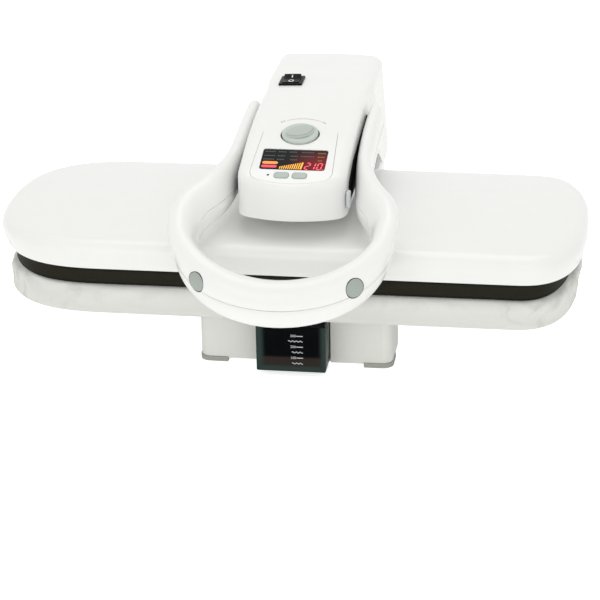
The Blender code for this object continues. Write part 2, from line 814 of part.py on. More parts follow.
def make_base():
    outline = base_outline()
    straight = BASE_TOP - BASE_TOP_RADIUS
    rows = [(0, 1, level(BASE_BOTTOM)), (0, 1, level(straight)),
            (BASE_TOP_RADIUS * (1 - math.cos(math.pi / 4)), 1,
             level(straight + BASE_TOP_RADIUS * math.sin(math.pi / 4))),
            (BASE_TOP_RADIUS, 1, level(BASE_TOP)), (BASE_TOP_RADIUS, 0, level(BASE_TOP))]
    housing = skin(outline, rows, BASE_WALL, "y")
    bay = TANK_HALF_WIDTH + BAY_CLEARANCE
    mouth = between((-bay, -BASE_FRONT - OVERRUN, BASE_BOTTOM - OVERRUN),
                    (bay, -BASE_FRONT + BASE_WALL + OVERRUN, TANK_TOP + BAY_CLEARANCE))
    inlet = rod(INLET_RADIUS + GAP, BASE_WALL + 2 * OVERRUN, (INLET_X, MACHINE_BACK, INLET_Z), ALONG_Y)
    corners = [corner_box(xs, ys, zs) for _, xs, ys, zs in foot_boxes(GAP)]
    housing = boolean(housing, [mouth, inlet] + corners)
    keep(housing, "base_housing", BASE_WHITE, "base")

    inner = base_outline(BASE_WALL + GAP)
    floor = slab(inner, BASE_BOTTOM, BASE_BOTTOM + FLOOR_THICKNESS, "y")
    corners = [corner_box(xs, ys, zs) for _, xs, ys, zs in foot_boxes(GAP)]
    floor = boolean(floor, corners + [
        between((-bay, -BASE_FRONT - OVERRUN, BASE_BOTTOM - OVERRUN),
                (bay, -BASE_FRONT + BASE_WALL + GAP, BASE_BOTTOM + OVERRUN))])
    keep(floor, "base_floor", BASE_WHITE, "base")

    for name, xs, ys, zs in foot_boxes(0):
        foot = slab(base_outline(0, FOOT_PROUD), 0, FOOT_HEIGHT, "y")
        foot = boolean(foot, [corner_box(xs, ys, (zs[0], FOOT_HEIGHT + OVERRUN))], "INTERSECT")
        keep(foot, name, RUBBER, "base")


def make_inlet():
    """Plain cord inlet in the rear wall"""
    inside = -BASE_WALL - INLET_LENGTH + INLET_FLANGE
    profile = [(INLET_BORE, INLET_FLANGE), (INLET_RADIUS + INLET_FLANGE, INLET_FLANGE),
               (INLET_RADIUS + INLET_FLANGE, GAP), (INLET_RADIUS, GAP), (INLET_RADIUS, inside),
               (INLET_BORE, inside), (INLET_BORE, INLET_FLANGE)]
    keep(turned(profile, (INLET_X, MACHINE_BACK, INLET_Z), ALONG_Y), "cord_inlet", BLACK, "base")


# Rear column, hinge bracket and balance springs
def make_column():
    inner_half = COLUMN_HALF_WIDTH - COLUMN_WALL
    bottom = BASE_TOP + GAP
    outer = between((-COLUMN_HALF_WIDTH, COLUMN_FRONT, bottom - OVERRUN),
                    (COLUMN_HALF_WIDTH, COLUMN_BACK, COLUMN_SHOULDER), COLUMN_EDGE_RADIUS, 3)
    hub = rod(HUB_RADIUS, 2 * HUB_HALF_WIDTH, (0, HINGE_Y, HINGE_Z), ALONG_X, 32)
    neck = between((-HUB_HALF_WIDTH, HINGE_Y - HUB_RADIUS, COLUMN_SHOULDER - OVERRUN),
                   (HUB_HALF_WIDTH, HINGE_Y + HUB_RADIUS, HINGE_Z))
    column = join(outer, [join(hub, [neck])])
    low_cut = between((-COLUMN_HALF_WIDTH - OVERRUN, COLUMN_FRONT - OVERRUN, bottom - 2 * OVERRUN),
                      (COLUMN_HALF_WIDTH + OVERRUN, COLUMN_BACK + OVERRUN, bottom))
    hollow = between((-inner_half, COLUMN_FRONT + COLUMN_WALL, bottom - OVERRUN),
                     (inner_half, COLUMN_BACK - COLUMN_WALL, COLUMN_SHOULDER - COLUMN_WALL),
                     COLUMN_EDGE_RADIUS - COLUMN_WALL, 3)
    inner_hub = HUB_RADIUS - COLUMN_WALL
    neck_half = HUB_HALF_WIDTH - COLUMN_WALL
    hub_hollow = rod(inner_hub, 2 * neck_half, (0, HINGE_Y, HINGE_Z), ALONG_X, 32)
    neck_hollow = between((-neck_half, HINGE_Y - inner_hub, COLUMN_SHOULDER - OVERRUN),
                          (neck_half, HINGE_Y + inner_hub, HINGE_Z))
    bore = rod(SHAFT_RADIUS + RUN_GAP / 2, 2 * HUB_HALF_WIDTH + OVERRUN, (0, HINGE_Y, HINGE_Z))
    column = boolean(column, [low_cut, hollow, join(hub_hollow, [neck_hollow]), bore])
    keep(column, "rear_column", WHITE, "base")


def make_hinge():
    base_low = BASE_TOP + GAP
    ears = []
    bush_radius = SHAFT_RADIUS + BUSH_WALL
    for side in (-1, 1):
        foot_half = BRACKET_HALF_DEPTH - BRACKET_WALL / 2
        outline = arc((HINGE_Y, HINGE_Z), BRACKET_EAR_RADIUS, 0, 180, 10)
        outline += [(HINGE_Y - foot_half, base_low + GAP), (HINGE_Y + foot_half, base_low + GAP)]
        centre = side * (BRACKET_HALF_WIDTH - BRACKET_WALL / 2)
        ears.append(prism(outline, BRACKET_WALL, (centre, 0, 0), SIDE_VIEW))
    sill_half = BRACKET_HALF_WIDTH + BRACKET_WALL
    sill = between((-sill_half, HINGE_Y - BRACKET_HALF_DEPTH, base_low),
                   (sill_half, HINGE_Y + BRACKET_HALF_DEPTH, base_low + BRACKET_WALL))
    bracket = join(sill, ears)
    bracket = boolean(bracket, [rod(bush_radius + GAP, 3 * BRACKET_HALF_WIDTH, (0, HINGE_Y, HINGE_Z))])
    keep(bracket, "hinge_bracket", STEEL, "base")

    half = BRACKET_WALL / 2
    profile = [(SHAFT_RADIUS + GAP, half), (bush_radius, half), (bush_radius, -half),
               (SHAFT_RADIUS + GAP, -half), (SHAFT_RADIUS + GAP, half)]
    for side, label in ((-1, "left"), (1, "right")):
        bush = turned(profile, (side * (BRACKET_HALF_WIDTH - half), HINGE_Y, HINGE_Z), ALONG_X)
        keep(bush, "hinge_bush_" + label, BRASS, "base")

    shaft = rod(SHAFT_RADIUS, 2 * (FRAME_HALF_WIDTH + FRAME_WALL), (0, HINGE_Y, HINGE_Z), ALONG_X, 24)
    collar = rod(COLLAR_RADIUS, 2 * COLLAR_HALF_WIDTH, (0, HINGE_Y, HINGE_Z), ALONG_X, 24)
    keep(join(shaft, [collar]), "hinge_shaft", STEEL, "arm")

    mean = SHAFT_RADIUS + SPRING_CLEARANCE + SPRING_WIRE
    for side, label in ((-1, "left"), (1, "right")):
        start = side * (COLLAR_HALF_WIDTH + GAP + SPRING_WIRE)
        points = []
        for i in range(SPRING_TURNS * TURN_POINTS + 1):
            angle = 2 * math.pi * i / TURN_POINTS
            x = start + side * SPRING_PITCH * i / TURN_POINTS
            points.append((x, HINGE_Y + mean * math.cos(angle), HINGE_Z + mean * math.sin(angle)))
        foot = (points[-1][0], points[-1][1], base_low + BRACKET_WALL + GAP + SPRING_WIRE)
        keep(tube(points + [foot], SPRING_WIRE, 1), "balance_spring_" + label, STEEL, "base")
    least_gap = SPRING_PITCH - 2 * SPRING_WIRE
    print("balance spring, least gap between turns in mm:", round(least_gap * 1000, 2))


# Ironing board under the plate
def make_board():
    outline = board_outline()
    low, high = BASE_TOP + GAP, BOARD_TOP
    r1, r2 = CLOTH_LOWER_RADIUS, CLOTH_UPPER_RADIUS
    rows = [(CLOTH_HEM, 1, level(low)), (r1, 1, level(low))]
    for k in (1, 2):
        a = math.pi / 2 * k / 2
        rows.append((r1 * (1 - math.sin(a)), 1, level(low + r1 * (1 - math.cos(a)))))
    for k in (0, 1, 2):
        a = math.pi / 2 * k / 2
        rows.append((r2 * (1 - math.cos(a)), 1, level(high - r2 * (1 - math.sin(a)))))
    rows += [(r2, 0, level(high))]
    keep(skin(outline, rows, CLOTH_WALL), "board_cover", CLOTH, "base")

    floor = low + CLOTH_WALL + GAP
    rows = [(PAN_INSET, 1, level(floor + PAN_RIM_HEIGHT)), (PAN_INSET, 1, level(floor)),
            (PAN_INSET, 0, level(floor))]
    pan = skin(outline, rows, PAN_WALL, "x", False)
    keep(pan, "board_pan", STEEL, "base")

    inset = PAN_INSET + PAN_WALL + GAP
    foam = slab(board_outline(max(inset, FOAM_INSET)), floor + PAN_WALL + GAP, high - CLOTH_WALL - GAP)
    keep(foam, "board_foam", FOAM, "base")


# Water tank, bay and pump
def make_tank():
    w, wall = TANK_HALF_WIDTH, TANK_WALL
    face_back = -BASE_FRONT - TANK_FACE_GAP
    top = TANK_TOP - LID_THICKNESS
    face = between((-w, -TANK_FRONT, TANK_BOTTOM), (w, face_back, top), TANK_EDGE_RADIUS / 2)
    box = between((-w, face_back - OVERRUN, TANK_RAISED_BOTTOM), (w, TANK_BACK, top))
    spout_y = TANK_BACK + (SPOUT_LENGTH - wall) / 2
    spout = rod(SPOUT_RADIUS, SPOUT_LENGTH + wall, (0, spout_y, SPOUT_Z), ALONG_Y)
    hollow = between((-w + wall, -TANK_FRONT + wall, TANK_RAISED_BOTTOM + wall),
                     (w - wall, TANK_BACK - wall, top + OVERRUN))
    bore = rod(SPOUT_BORE, SPOUT_LENGTH + OVERRUN, (0, TANK_BACK + SPOUT_LENGTH / 2, SPOUT_Z), ALONG_Y, 12)
    tank = boolean(join(face, [box, spout]), [hollow, bore])
    keep(tank, "water_tank", SMOKE, "tank")

    lid = between((-w, -TANK_FRONT, top + GAP), (w, TANK_BACK, TANK_TOP), LID_THICKNESS / 4, 1)
    rim = between((-w + wall + GAP, -TANK_FRONT + wall + GAP, top - LID_THICKNESS),
                  (w - wall - GAP, TANK_BACK - wall - GAP, top + LID_THICKNESS / 2))
    inside = between((-w + 3 * wall, -TANK_FRONT + 3 * wall, top - 2 * LID_THICKNESS),
                     (w - 3 * wall, TANK_BACK - 3 * wall, top))
    filler = rod(FILLER_RADIUS + GAP, 3 * OVERRUN, (0, FILLER_Y, TANK_TOP), ALONG_Z, 24)
    lid = boolean(join(lid, [boolean(rim, [inside])]), [filler])
    keep(lid, "tank_lid", SMOKE, "tank")

    profile = [(0, PLUG_HEIGHT), (FILLER_RADIUS + PLUG_RIM, PLUG_HEIGHT), (FILLER_RADIUS + PLUG_RIM, GAP),
               (FILLER_RADIUS, GAP), (FILLER_RADIUS, -PLUG_DEPTH), (0, -PLUG_DEPTH)]
    keep(turned(profile, (0, FILLER_Y, TANK_TOP), ALONG_Z, 24), "filler_plug", RUBBER, "tank")

    bay = TANK_HALF_WIDTH + BAY_CLEARANCE
    floor_top = BASE_BOTTOM + FLOOR_THICKNESS
    front = -BASE_FRONT + BASE_WALL + GAP
    tunnel = between((-bay - BAY_WALL, front, floor_top + GAP),
                     (bay + BAY_WALL, TANK_BACK + SPOUT_LENGTH, TANK_TOP + BAY_CLEARANCE + BAY_WALL))
    tunnel = boolean(tunnel, [between((-bay, front - OVERRUN, floor_top - OVERRUN),
                                      (bay, TANK_BACK + SPOUT_LENGTH + OVERRUN, TANK_TOP + BAY_CLEARANCE))])
    keep(tunnel, "tank_bay", BASE_WHITE, "base")

    seal_radius = SPOUT_RADIUS + GAP + SEAL_WALL
    dock_front = TANK_BACK + BAY_CLEARANCE
    seal_back = dock_front + SEAL_LENGTH
    dock = between((-DOCK_WIDTH / 2, dock_front, floor_top + GAP),
                   (DOCK_WIDTH / 2, dock_front + DOCK_DEPTH, floor_top + DOCK_HEIGHT), BAY_WALL / 2, 1)
    socket = rod(seal_radius + GAP, 2 * SPOUT_LENGTH + 2 * RUN_GAP, (0, dock_front, SPOUT_Z), ALONG_Y)
    passage = rod(SPOUT_BORE, 2 * DOCK_DEPTH, (0, dock_front + DOCK_DEPTH, SPOUT_Z), ALONG_Y, 12)
    dock = boolean(dock, [socket, passage])
    keep(dock, "tank_dock", NATURAL, "base")
    profile = [(SPOUT_RADIUS + GAP, SEAL_LENGTH), (seal_radius, SEAL_LENGTH), (seal_radius, 0),
               (SPOUT_RADIUS + GAP, 0), (SPOUT_RADIUS + GAP, SEAL_LENGTH)]
    keep(turned(profile, (0, seal_back - SEAL_LENGTH, SPOUT_Z), ALONG_Y), "dock_seal", SILICONE, "base")

    axis_z = floor_top + GAP + PUMP_RADIUS + BAY_WALL
    motor = rod(PUMP_RADIUS, PUMP_LENGTH, (PUMP_X, PUMP_Y, axis_z), ALONG_Y, 24)
    cradle = between((PUMP_X - PUMP_RADIUS, PUMP_Y - PUMP_LENGTH / 4, floor_top + GAP),
                     (PUMP_X + PUMP_RADIUS, PUMP_Y + PUMP_LENGTH / 4, axis_z - PUMP_RADIUS / 2))
    port = rod(HOSE_RADIUS, PUMP_LENGTH + 2 * OVERRUN, (PUMP_X, PUMP_Y, axis_z), ALONG_Y, 12)
    keep(join(motor, [cradle, port]), "water_pump", NATURAL, "base")

    start_y = dock_front + DOCK_DEPTH + GAP
    end_y = PUMP_Y - PUMP_LENGTH / 2 - OVERRUN - GAP
    hose = []
    for share in evenly(0, 1, 8):
        bend = smooth_share(share, HOSE_START_SHARE, HOSE_END_SHARE)
        hose.append((PUMP_X * bend, start_y + (end_y - start_y) * share, SPOUT_Z + (axis_z - SPOUT_Z) * bend))
    keep(tube(hose, HOSE_RADIUS), "suction_hose", SILICONE, "base")


def make_power_board():
    low = BASE_BOTTOM + FLOOR_THICKNESS + GAP
    x, y = POWER_BOARD_X, POWER_BOARD_Y
    legs = [rod(RELAY_SIDE / 6, RELAY_SIDE / 2, (x + sx * (POWER_BOARD_WIDTH / 2 - RELAY_SIDE / 4),
                y + sy * (POWER_BOARD_DEPTH / 2 - RELAY_SIDE / 4), low + RELAY_SIDE / 4), ALONG_Z, 10)
            for sx in (-1, 1) for sy in (-1, 1)]
    deck = low + RELAY_SIDE / 2
    card = between((x - POWER_BOARD_WIDTH / 2, y - POWER_BOARD_DEPTH / 2, deck - CIRCUIT_THICKNESS),
                   (x + POWER_BOARD_WIDTH / 2, y + POWER_BOARD_DEPTH / 2, deck))
    relay = between((x - RELAY_SIDE / 2, y - RELAY_SIDE, deck - CIRCUIT_THICKNESS / 2),
                    (x + RELAY_SIDE / 2, y + RELAY_SIDE / 2, deck + RELAY_SIDE))
    drum_z = deck + RELAY_SIDE / 2 - CIRCUIT_THICKNESS / 2
    drum = rod(RELAY_SIDE / 3, RELAY_SIDE, (x, y + RELAY_SIDE * DRUM_PLACE_SHARE, drum_z), ALONG_Z, 14)
    keep(join(card, legs + [relay, drum]), "power_board", CIRCUIT, "base")


# Swing arm
def arm_crest(y):
    """Height of the arm's top on the centre line"""
    if y <= PANEL_BEND:
        brow = max((BROW_Y - y) / (BROW_Y + ARM_FRONT), 0)
        return PANEL_BEND_HEIGHT + (y - PANEL_BEND) * math.tan(PANEL_SLOPE) - BROW_DROP * brow ** 2
    rise = ARM_TOP - PANEL_BEND_HEIGHT
    power = math.tan(PANEL_SLOPE) * (CREST_Y - PANEL_BEND) / rise
    share = min((y - PANEL_BEND) / (CREST_Y - PANEL_BEND), 1)
    return ARM_TOP - rise * (1 - share) ** power


def arm_half_width(y):
    return ARM_HEAD_HALF_WIDTH + (ARM_TAIL_HALF_WIDTH - ARM_HEAD_HALF_WIDTH) * smooth_share(
        y, ARM_FLARE_START, ARM_FLARE_END)


def arm_surface(y, x):
    """Height of the arm's top, with its gentle crown behind the flat of the display"""
    crown = ARM_CROWN * smooth_share(y, PANEL_BEND, CREST_Y)
    return arm_crest(y) - crown * (x / ARM_HEAD_HALF_WIDTH) ** 2


def arm_hem(y, x=0):
    """Height of the arm's lower edge: level over the plate, dropping to a round tail at the hinge"""
    low = HINGE_Z - ARM_TAIL_RADIUS
    if y <= HINGE_Y:
        return ARM_UNDERSIDE + (low - ARM_UNDERSIDE) * smooth_share(y, ARM_DROP_START, ARM_DROP_END)
    reach = min(y - HINGE_Y, ARM_TAIL_RADIUS)
    return HINGE_Z - math.sqrt(ARM_TAIL_RADIUS ** 2 - reach ** 2)


def evenly(start, end, steps):
    return [start + (end - start) * k / steps for k in range(steps + 1)]


def arm_outline(back=ARM_BACK, inset=0, steps=3):
    """Half outline of the arm in plan, as (y, x)"""
    head = ARM_HEAD_HALF_WIDTH - inset
    corner_y = -ARM_FRONT + ARM_FRONT_BULGE
    bulge = [(-ARM_FRONT + ARM_FRONT_BULGE * share ** 2 + inset, head * share) for share in BULGE_SHARES]
    corner = corner_y + inset - BULGE_EASE_SHARE * ARM_FRONT_BULGE
    corners = [(*bulge[-1], 0), (corner, head, ARM_CORNER_RADIUS - inset),
               (corner_y + 3 * ARM_CORNER_RADIUS, head, 0)]
    stations = evenly(corner_y + 4 * ARM_CORNER_RADIUS, ARM_FLARE_START, 3)[:-1]
    stations += evenly(ARM_FLARE_START, ARM_FLARE_END, 4)[:-1]
    stations += evenly(ARM_FLARE_END, ARM_BACK - 3 * ARM_CORNER_RADIUS / 2, 5)
    side = [(y, arm_half_width(y) - inset) for y in stations if y < back - ARM_CORNER_RADIUS]
    tail = arm_half_width(back) - inset
    rear = [(*side[-1], 0), (back - inset, tail, ARM_CORNER_RADIUS - inset if back == ARM_BACK else 0),
            (back - inset, 0, 0)]
    return bulge[:-1] + rounded(corners, steps) + side[:-1] + rounded(rear, steps)


def lean(y):
    """Share of the half width kept at the top of the wall"""
    return 1 - ARM_TAIL_LEAN_SHARE * smooth_share(y, ARM_FLARE_START, ARM_FLARE_END)


def half_lean(y):
    return (1 + lean(y)) / 2


def arm_frame_at(y, x=0):
    """Place and turn of the arm's top surface, its Z axis out of the surface"""
    small = GAP
    slope = math.atan2(arm_surface(y + small, x) - arm_surface(y - small, x), 2 * small)
    side_slope = math.atan2(arm_surface(y, x + small) - arm_surface(y, x - small), 2 * small)
    turn = Matrix.Rotation(slope, 4, "X") @ Matrix.Rotation(-side_slope, 4, "Y")
    return Matrix.Translation((x, y, arm_surface(y, x))) @ turn


def fascia_outline():
    """Half outline of the control panel, as (y, x): bowed in front, arched behind the knob"""
    front = FASCIA_FRONT - FASCIA_FRONT_BULGE
    corners = [(front, 0, 0), (front + FASCIA_FRONT_BULGE / 4, FASCIA_HALF_WIDTH / 2, 0),
               (FASCIA_FRONT, FASCIA_HALF_WIDTH, FASCIA_CORNER_RADIUS),
               (FASCIA_SHOULDER, FASCIA_TOP_HALF_WIDTH, 0)]
    line = rounded(corners, 4)
    rise = FASCIA_CREST - FASCIA_SHOULDER
    for k in range(1, 7):
        a = math.pi / 2 * k / 6
        line.append((FASCIA_SHOULDER + rise * math.sin(a), FASCIA_TOP_HALF_WIDTH * math.cos(a)))
    return line


def panel_openings(clearance):
    """Cutters for the window, knob, keys and lamp in the panel"""
    at_window = arm_frame_at(WINDOW_CENTRE)
    at_keys = arm_frame_at(KEY_Y)
    cuts = [prism(rounded_box(WINDOW_WIDTH + 2 * clearance, WINDOW_DEPTH + 2 * clearance, WINDOW_RADIUS),
                  2 * OVERRUN)]
    cuts[0].data.transform(at_window)
    knob = rod(KNOB_RADIUS + 2 * clearance, 2 * OVERRUN, (0, 0, 0), ALONG_Z, 32)
    knob.data.transform(arm_frame_at(KNOB_Y))
    cuts.append(knob)
    for side in (-1, 1):
        outline = rounded_box(KEY_WIDTH + 2 * clearance, KEY_DEPTH + 2 * clearance,
                              KEY_DEPTH * KEY_CORNER_SHARE)
        key = prism(outline, 2 * OVERRUN)
        key.data.transform(at_keys @ Matrix.Translation((side * KEY_PITCH / 2, 0, 0)))
        cuts.append(key)
    lamp = rod(LED_RADIUS + clearance, 2 * OVERRUN, (0, 0, 0), ALONG_Z, 12)
    lamp.data.transform(at_keys @ Matrix.Translation((LED_X, 0, 0)))
    cuts.append(lamp)
    return cuts


def arm_cuts():
    """Cutters for the arm's top cover"""
    panel = slab(inset_line(fascia_outline(), -GAP), ARM_UNDERSIDE + 2 * OVERRUN, ARM_TOP + OVERRUN, "y")
    wide, long = SWITCH_WIDTH - 2 * SWITCH_LIP + 2 * GAP, SWITCH_LENGTH - 2 * SWITCH_LIP + 2 * GAP
    switch = prism(rounded_box(wide, long, SWITCH_LIP), 2 * OVERRUN)
    switch.data.transform(arm_frame_at(SWITCH_Y, SWITCH_X))
    shaft = rod(HANDLE_SHAFT_RADIUS + GAP, 4 * PIVOT_X, (0, PIVOT_Y, PIVOT_Z))
    slot_top = HINGE_Z + ARM_TAIL_RADIUS / 2
    slot = between((-HUB_HALF_WIDTH - RUN_GAP, HINGE_Y, HINGE_Z - 2 * ARM_TAIL_RADIUS),
                   (HUB_HALF_WIDTH + RUN_GAP, ARM_BACK + OVERRUN, slot_top))
    tab = between((ARM_HEAD_HALF_WIDTH - OVERRUN, LOCK_Y - LOCK_LENGTH / 2 - GAP,
                   LOCK_Z - LOCK_STEM_HEIGHT / 2 - GAP),
                  (ARM_HEAD_HALF_WIDTH + OVERRUN, LOCK_Y + LOCK_LENGTH / 2 + LOCK_TRAVEL + GAP,
                   LOCK_Z + LOCK_STEM_HEIGHT / 2 + GAP))
    return [panel, switch, shaft, slot, tab]


def make_arm_covers():
    def wall_height(share):
        return lambda y, x: arm_hem(y) + (arm_surface(y, x) - ARM_EDGE_RADIUS - arm_hem(y)) * share

    def edge_inset(angle):
        depth = ARM_EDGE_RADIUS * (1 - math.cos(angle))
        brow = BROW_EDGE_SHARE
        return lambda y: depth * (brow + (1 - brow) * smooth_share(y, -ARM_FRONT, BROW_Y))

    def edge_height(angle):
        return lambda y, x: arm_surface(y, x) - ARM_EDGE_RADIUS * (1 - math.sin(angle))

    rows = [(0, 1, wall_height(0)), (0, half_lean, wall_height(0.5)), (0, lean, wall_height(1))]
    for k in (1, 2, 3):
        angle = math.pi / 2 * k / 3
        rows.append((edge_inset(angle), lean, edge_height(angle)))
    for share in (0.5, 0):
        rows.append((edge_inset(math.pi / 2), lambda y, part=share: lean(y) * part, arm_surface))
    top = skin(arm_outline(), rows, ARM_WALL, "y")
    top = boolean(top, arm_cuts())
    keep(top, "arm_top_cover", WHITE, "arm")

    inner = arm_outline(ARM_LID_BACK, ARM_WALL + 2 * GAP)

    def lid_height(y, x):
        return arm_hem(y) + ARM_LID_RAISE

    lid = skin(inner, [(0, 1, lid_height), (0, 0.5, lid_height), (0, 0, lid_height)], ARM_WALL, "y", False)
    hatch = between((-HATCH_HALF_WIDTH, HATCH_FRONT, 0), (HATCH_HALF_WIDTH, HATCH_BACK, ARM_TOP))
    lid = boolean(lid, [hatch])
    keep(lid, "arm_bottom_cover", WHITE, "arm")


def make_arm_frame():
    outline = [(FRAME_FRONT, FRAME_NOSE_HIGH), (FRAME_FRONT, FRAME_NOSE_LOW), (HATCH_BACK, FRAME_NOSE_LOW),
               (ARM_LID_BACK, ARM_UNDERSIDE + 2 * FRAME_WALL)]
    ear = arc((HINGE_Y, HINGE_Z), FRAME_EAR_RADIUS, 240, 450, 10)
    outline += [(p[0], p[1]) for p in ear] + [(FRAME_BEND_Y, FRAME_NOSE_HIGH)]
    body = prism(outline, 2 * FRAME_HALF_WIDTH, (0, 0, 0), SIDE_VIEW)
    inner = FRAME_HALF_WIDTH - FRAME_WALL
    web_drop = (FRAME_NOSE_HIGH - HINGE_Z - FRAME_EAR_RADIUS) / (HINGE_Y - FRAME_BEND_Y)
    open_height = FRAME_NOSE_HIGH - FRAME_WALL - web_drop * (FRAME_OPEN_Y - FRAME_BEND_Y)
    nose = (FRAME_FRONT - OVERRUN, FRAME_NOSE_HIGH - FRAME_WALL)
    lowered = [nose, (nose[0], FRAME_NOSE_LOW - OVERRUN), (FRAME_OPEN_Y, HINGE_Z - 2 * FRAME_EAR_RADIUS),
               (HINGE_Y + 2 * FRAME_EAR_RADIUS, HINGE_Z - 2 * FRAME_EAR_RADIUS),
               (HINGE_Y + 2 * FRAME_EAR_RADIUS, FRAME_NOSE_HIGH), (FRAME_OPEN_Y, FRAME_NOSE_HIGH),
               (FRAME_OPEN_Y, open_height), (FRAME_BEND_Y, FRAME_NOSE_HIGH - FRAME_WALL)]
    channel = prism(lowered, 2 * inner, (0, 0, 0), SIDE_VIEW)
    cuts = [channel,
            rod(SHAFT_RADIUS + GAP, 4 * FRAME_HALF_WIDTH, (0, HINGE_Y, HINGE_Z)),
            rod(HANDLE_SHAFT_RADIUS + GAP, 4 * FRAME_HALF_WIDTH, (0, PIVOT_Y, PIVOT_Z))]
    keep(boolean(body, cuts), "arm_frame", STEEL, "arm")

    head = FRAME_NOSE_HIGH - FRAME_WALL - GAP
    yoke = between((-POST_X, POST_Y - POST_RADIUS, head - POST_COLLAR_HEIGHT),
                   (POST_X, POST_Y + POST_RADIUS, head))
    posts = []
    for side, label in ((-1, "left"), (1, "right")):
        x = side * POST_X
        foot = POST_FOOT
        top = head - GAP
        profile = [(0, top), (POST_RADIUS - GAP, top), (POST_RADIUS - GAP, foot + POST_COLLAR_HEIGHT),
                   (POST_COLLAR_RADIUS, foot + POST_COLLAR_HEIGHT), (POST_COLLAR_RADIUS, foot), (0, foot)]
        posts.append(turned(profile, (x, POST_Y, 0), ALONG_Z, 16))
        low = foot + POST_COLLAR_HEIGHT + GAP + LIFT_SPRING_WIRE
        high = BRIDGE_TOP - BRIDGE_WALL - GAP - LIFT_SPRING_WIRE
        count = LIFT_SPRING_TURNS * TURN_POINTS
        points = [(x + LIFT_SPRING_RADIUS * math.cos(2 * math.pi * i / TURN_POINTS),
                   POST_Y + LIFT_SPRING_RADIUS * math.sin(2 * math.pi * i / TURN_POINTS),
                   low + (high - low) * i / count) for i in range(count + 1)]
        keep(tube(points, LIFT_SPRING_WIRE, 1), "lift_spring_" + label, STEEL, "arm")
    keep(join(yoke, posts), "guide_posts", STEEL, "arm")
    least_gap = (high - low) / LIFT_SPRING_TURNS - 2 * LIFT_SPRING_WIRE
    print("lift spring, least gap between turns in mm:", round(least_gap * 1000, 2))


def make_panel():
    def raised(y, x):
        return arm_surface(y, x) + FASCIA_PROUD

    outline = fascia_outline()
    rows = [(0, share, raised) for share in evenly(1, 0, 3)]
    fascia = skin(outline, rows, FASCIA_WALL, "y")
    keep(boolean(fascia, panel_openings(GAP)), "control_fascia", WHITE, "arm")

    window = prism(rounded_box(WINDOW_WIDTH, WINDOW_DEPTH, WINDOW_RADIUS), WINDOW_THICKNESS)
    window.data.transform(arm_frame_at(WINDOW_CENTRE) @ Matrix.Translation((0, 0, -WINDOW_THICKNESS / 2)))
    keep(window, "display_window", BLACK, "arm")

    module_low = -CIRCUIT_DROP - CIRCUIT_THICKNESS / 2
    card = block((CIRCUIT_WIDTH, CIRCUIT_DEPTH, CIRCUIT_THICKNESS), (0, 0, module_low))
    module_half = (WINDOW_WIDTH - OVERRUN) / 2
    module_depth = (WINDOW_DEPTH - OVERRUN / 2) / 2
    module_y = WINDOW_CENTRE - CIRCUIT_CENTRE
    module = between((-module_half, module_y - module_depth, module_low),
                     (module_half, module_y + module_depth, -WINDOW_THICKNESS - GAP))
    card = join(card, [module])
    card.data.transform(arm_frame_at(CIRCUIT_CENTRE))
    keep(card, "display_board", CIRCUIT, "arm")

    lamp = rod(LED_RADIUS, LED_HEIGHT, (LED_X, 0, GAP - LED_HEIGHT / 2), ALONG_Z, 12)
    lamp.data.transform(arm_frame_at(KEY_Y))
    keep(lamp, "ready_lamp", GREY, "arm")

    for side, label in ((-1, "left"), (1, "right")):
        place = arm_frame_at(KEY_Y) @ Matrix.Translation((side * KEY_PITCH / 2, 0, 0))
        add_body("panel_key_" + label, "arm", tuple(place.translation))
        height = KEY_HEIGHT + KEY_PROUD
        key = prism(rounded_box(KEY_WIDTH, KEY_DEPTH, KEY_DEPTH * KEY_CORNER_SHARE), height)
        key = freeze(bevel(key, KEY_PROUD / 2, 2))
        key.data.transform(place @ Matrix.Translation((0, 0, KEY_PROUD - height / 2)))
        keep(key, "panel_key_" + label, GREY, "panel_key_" + label)


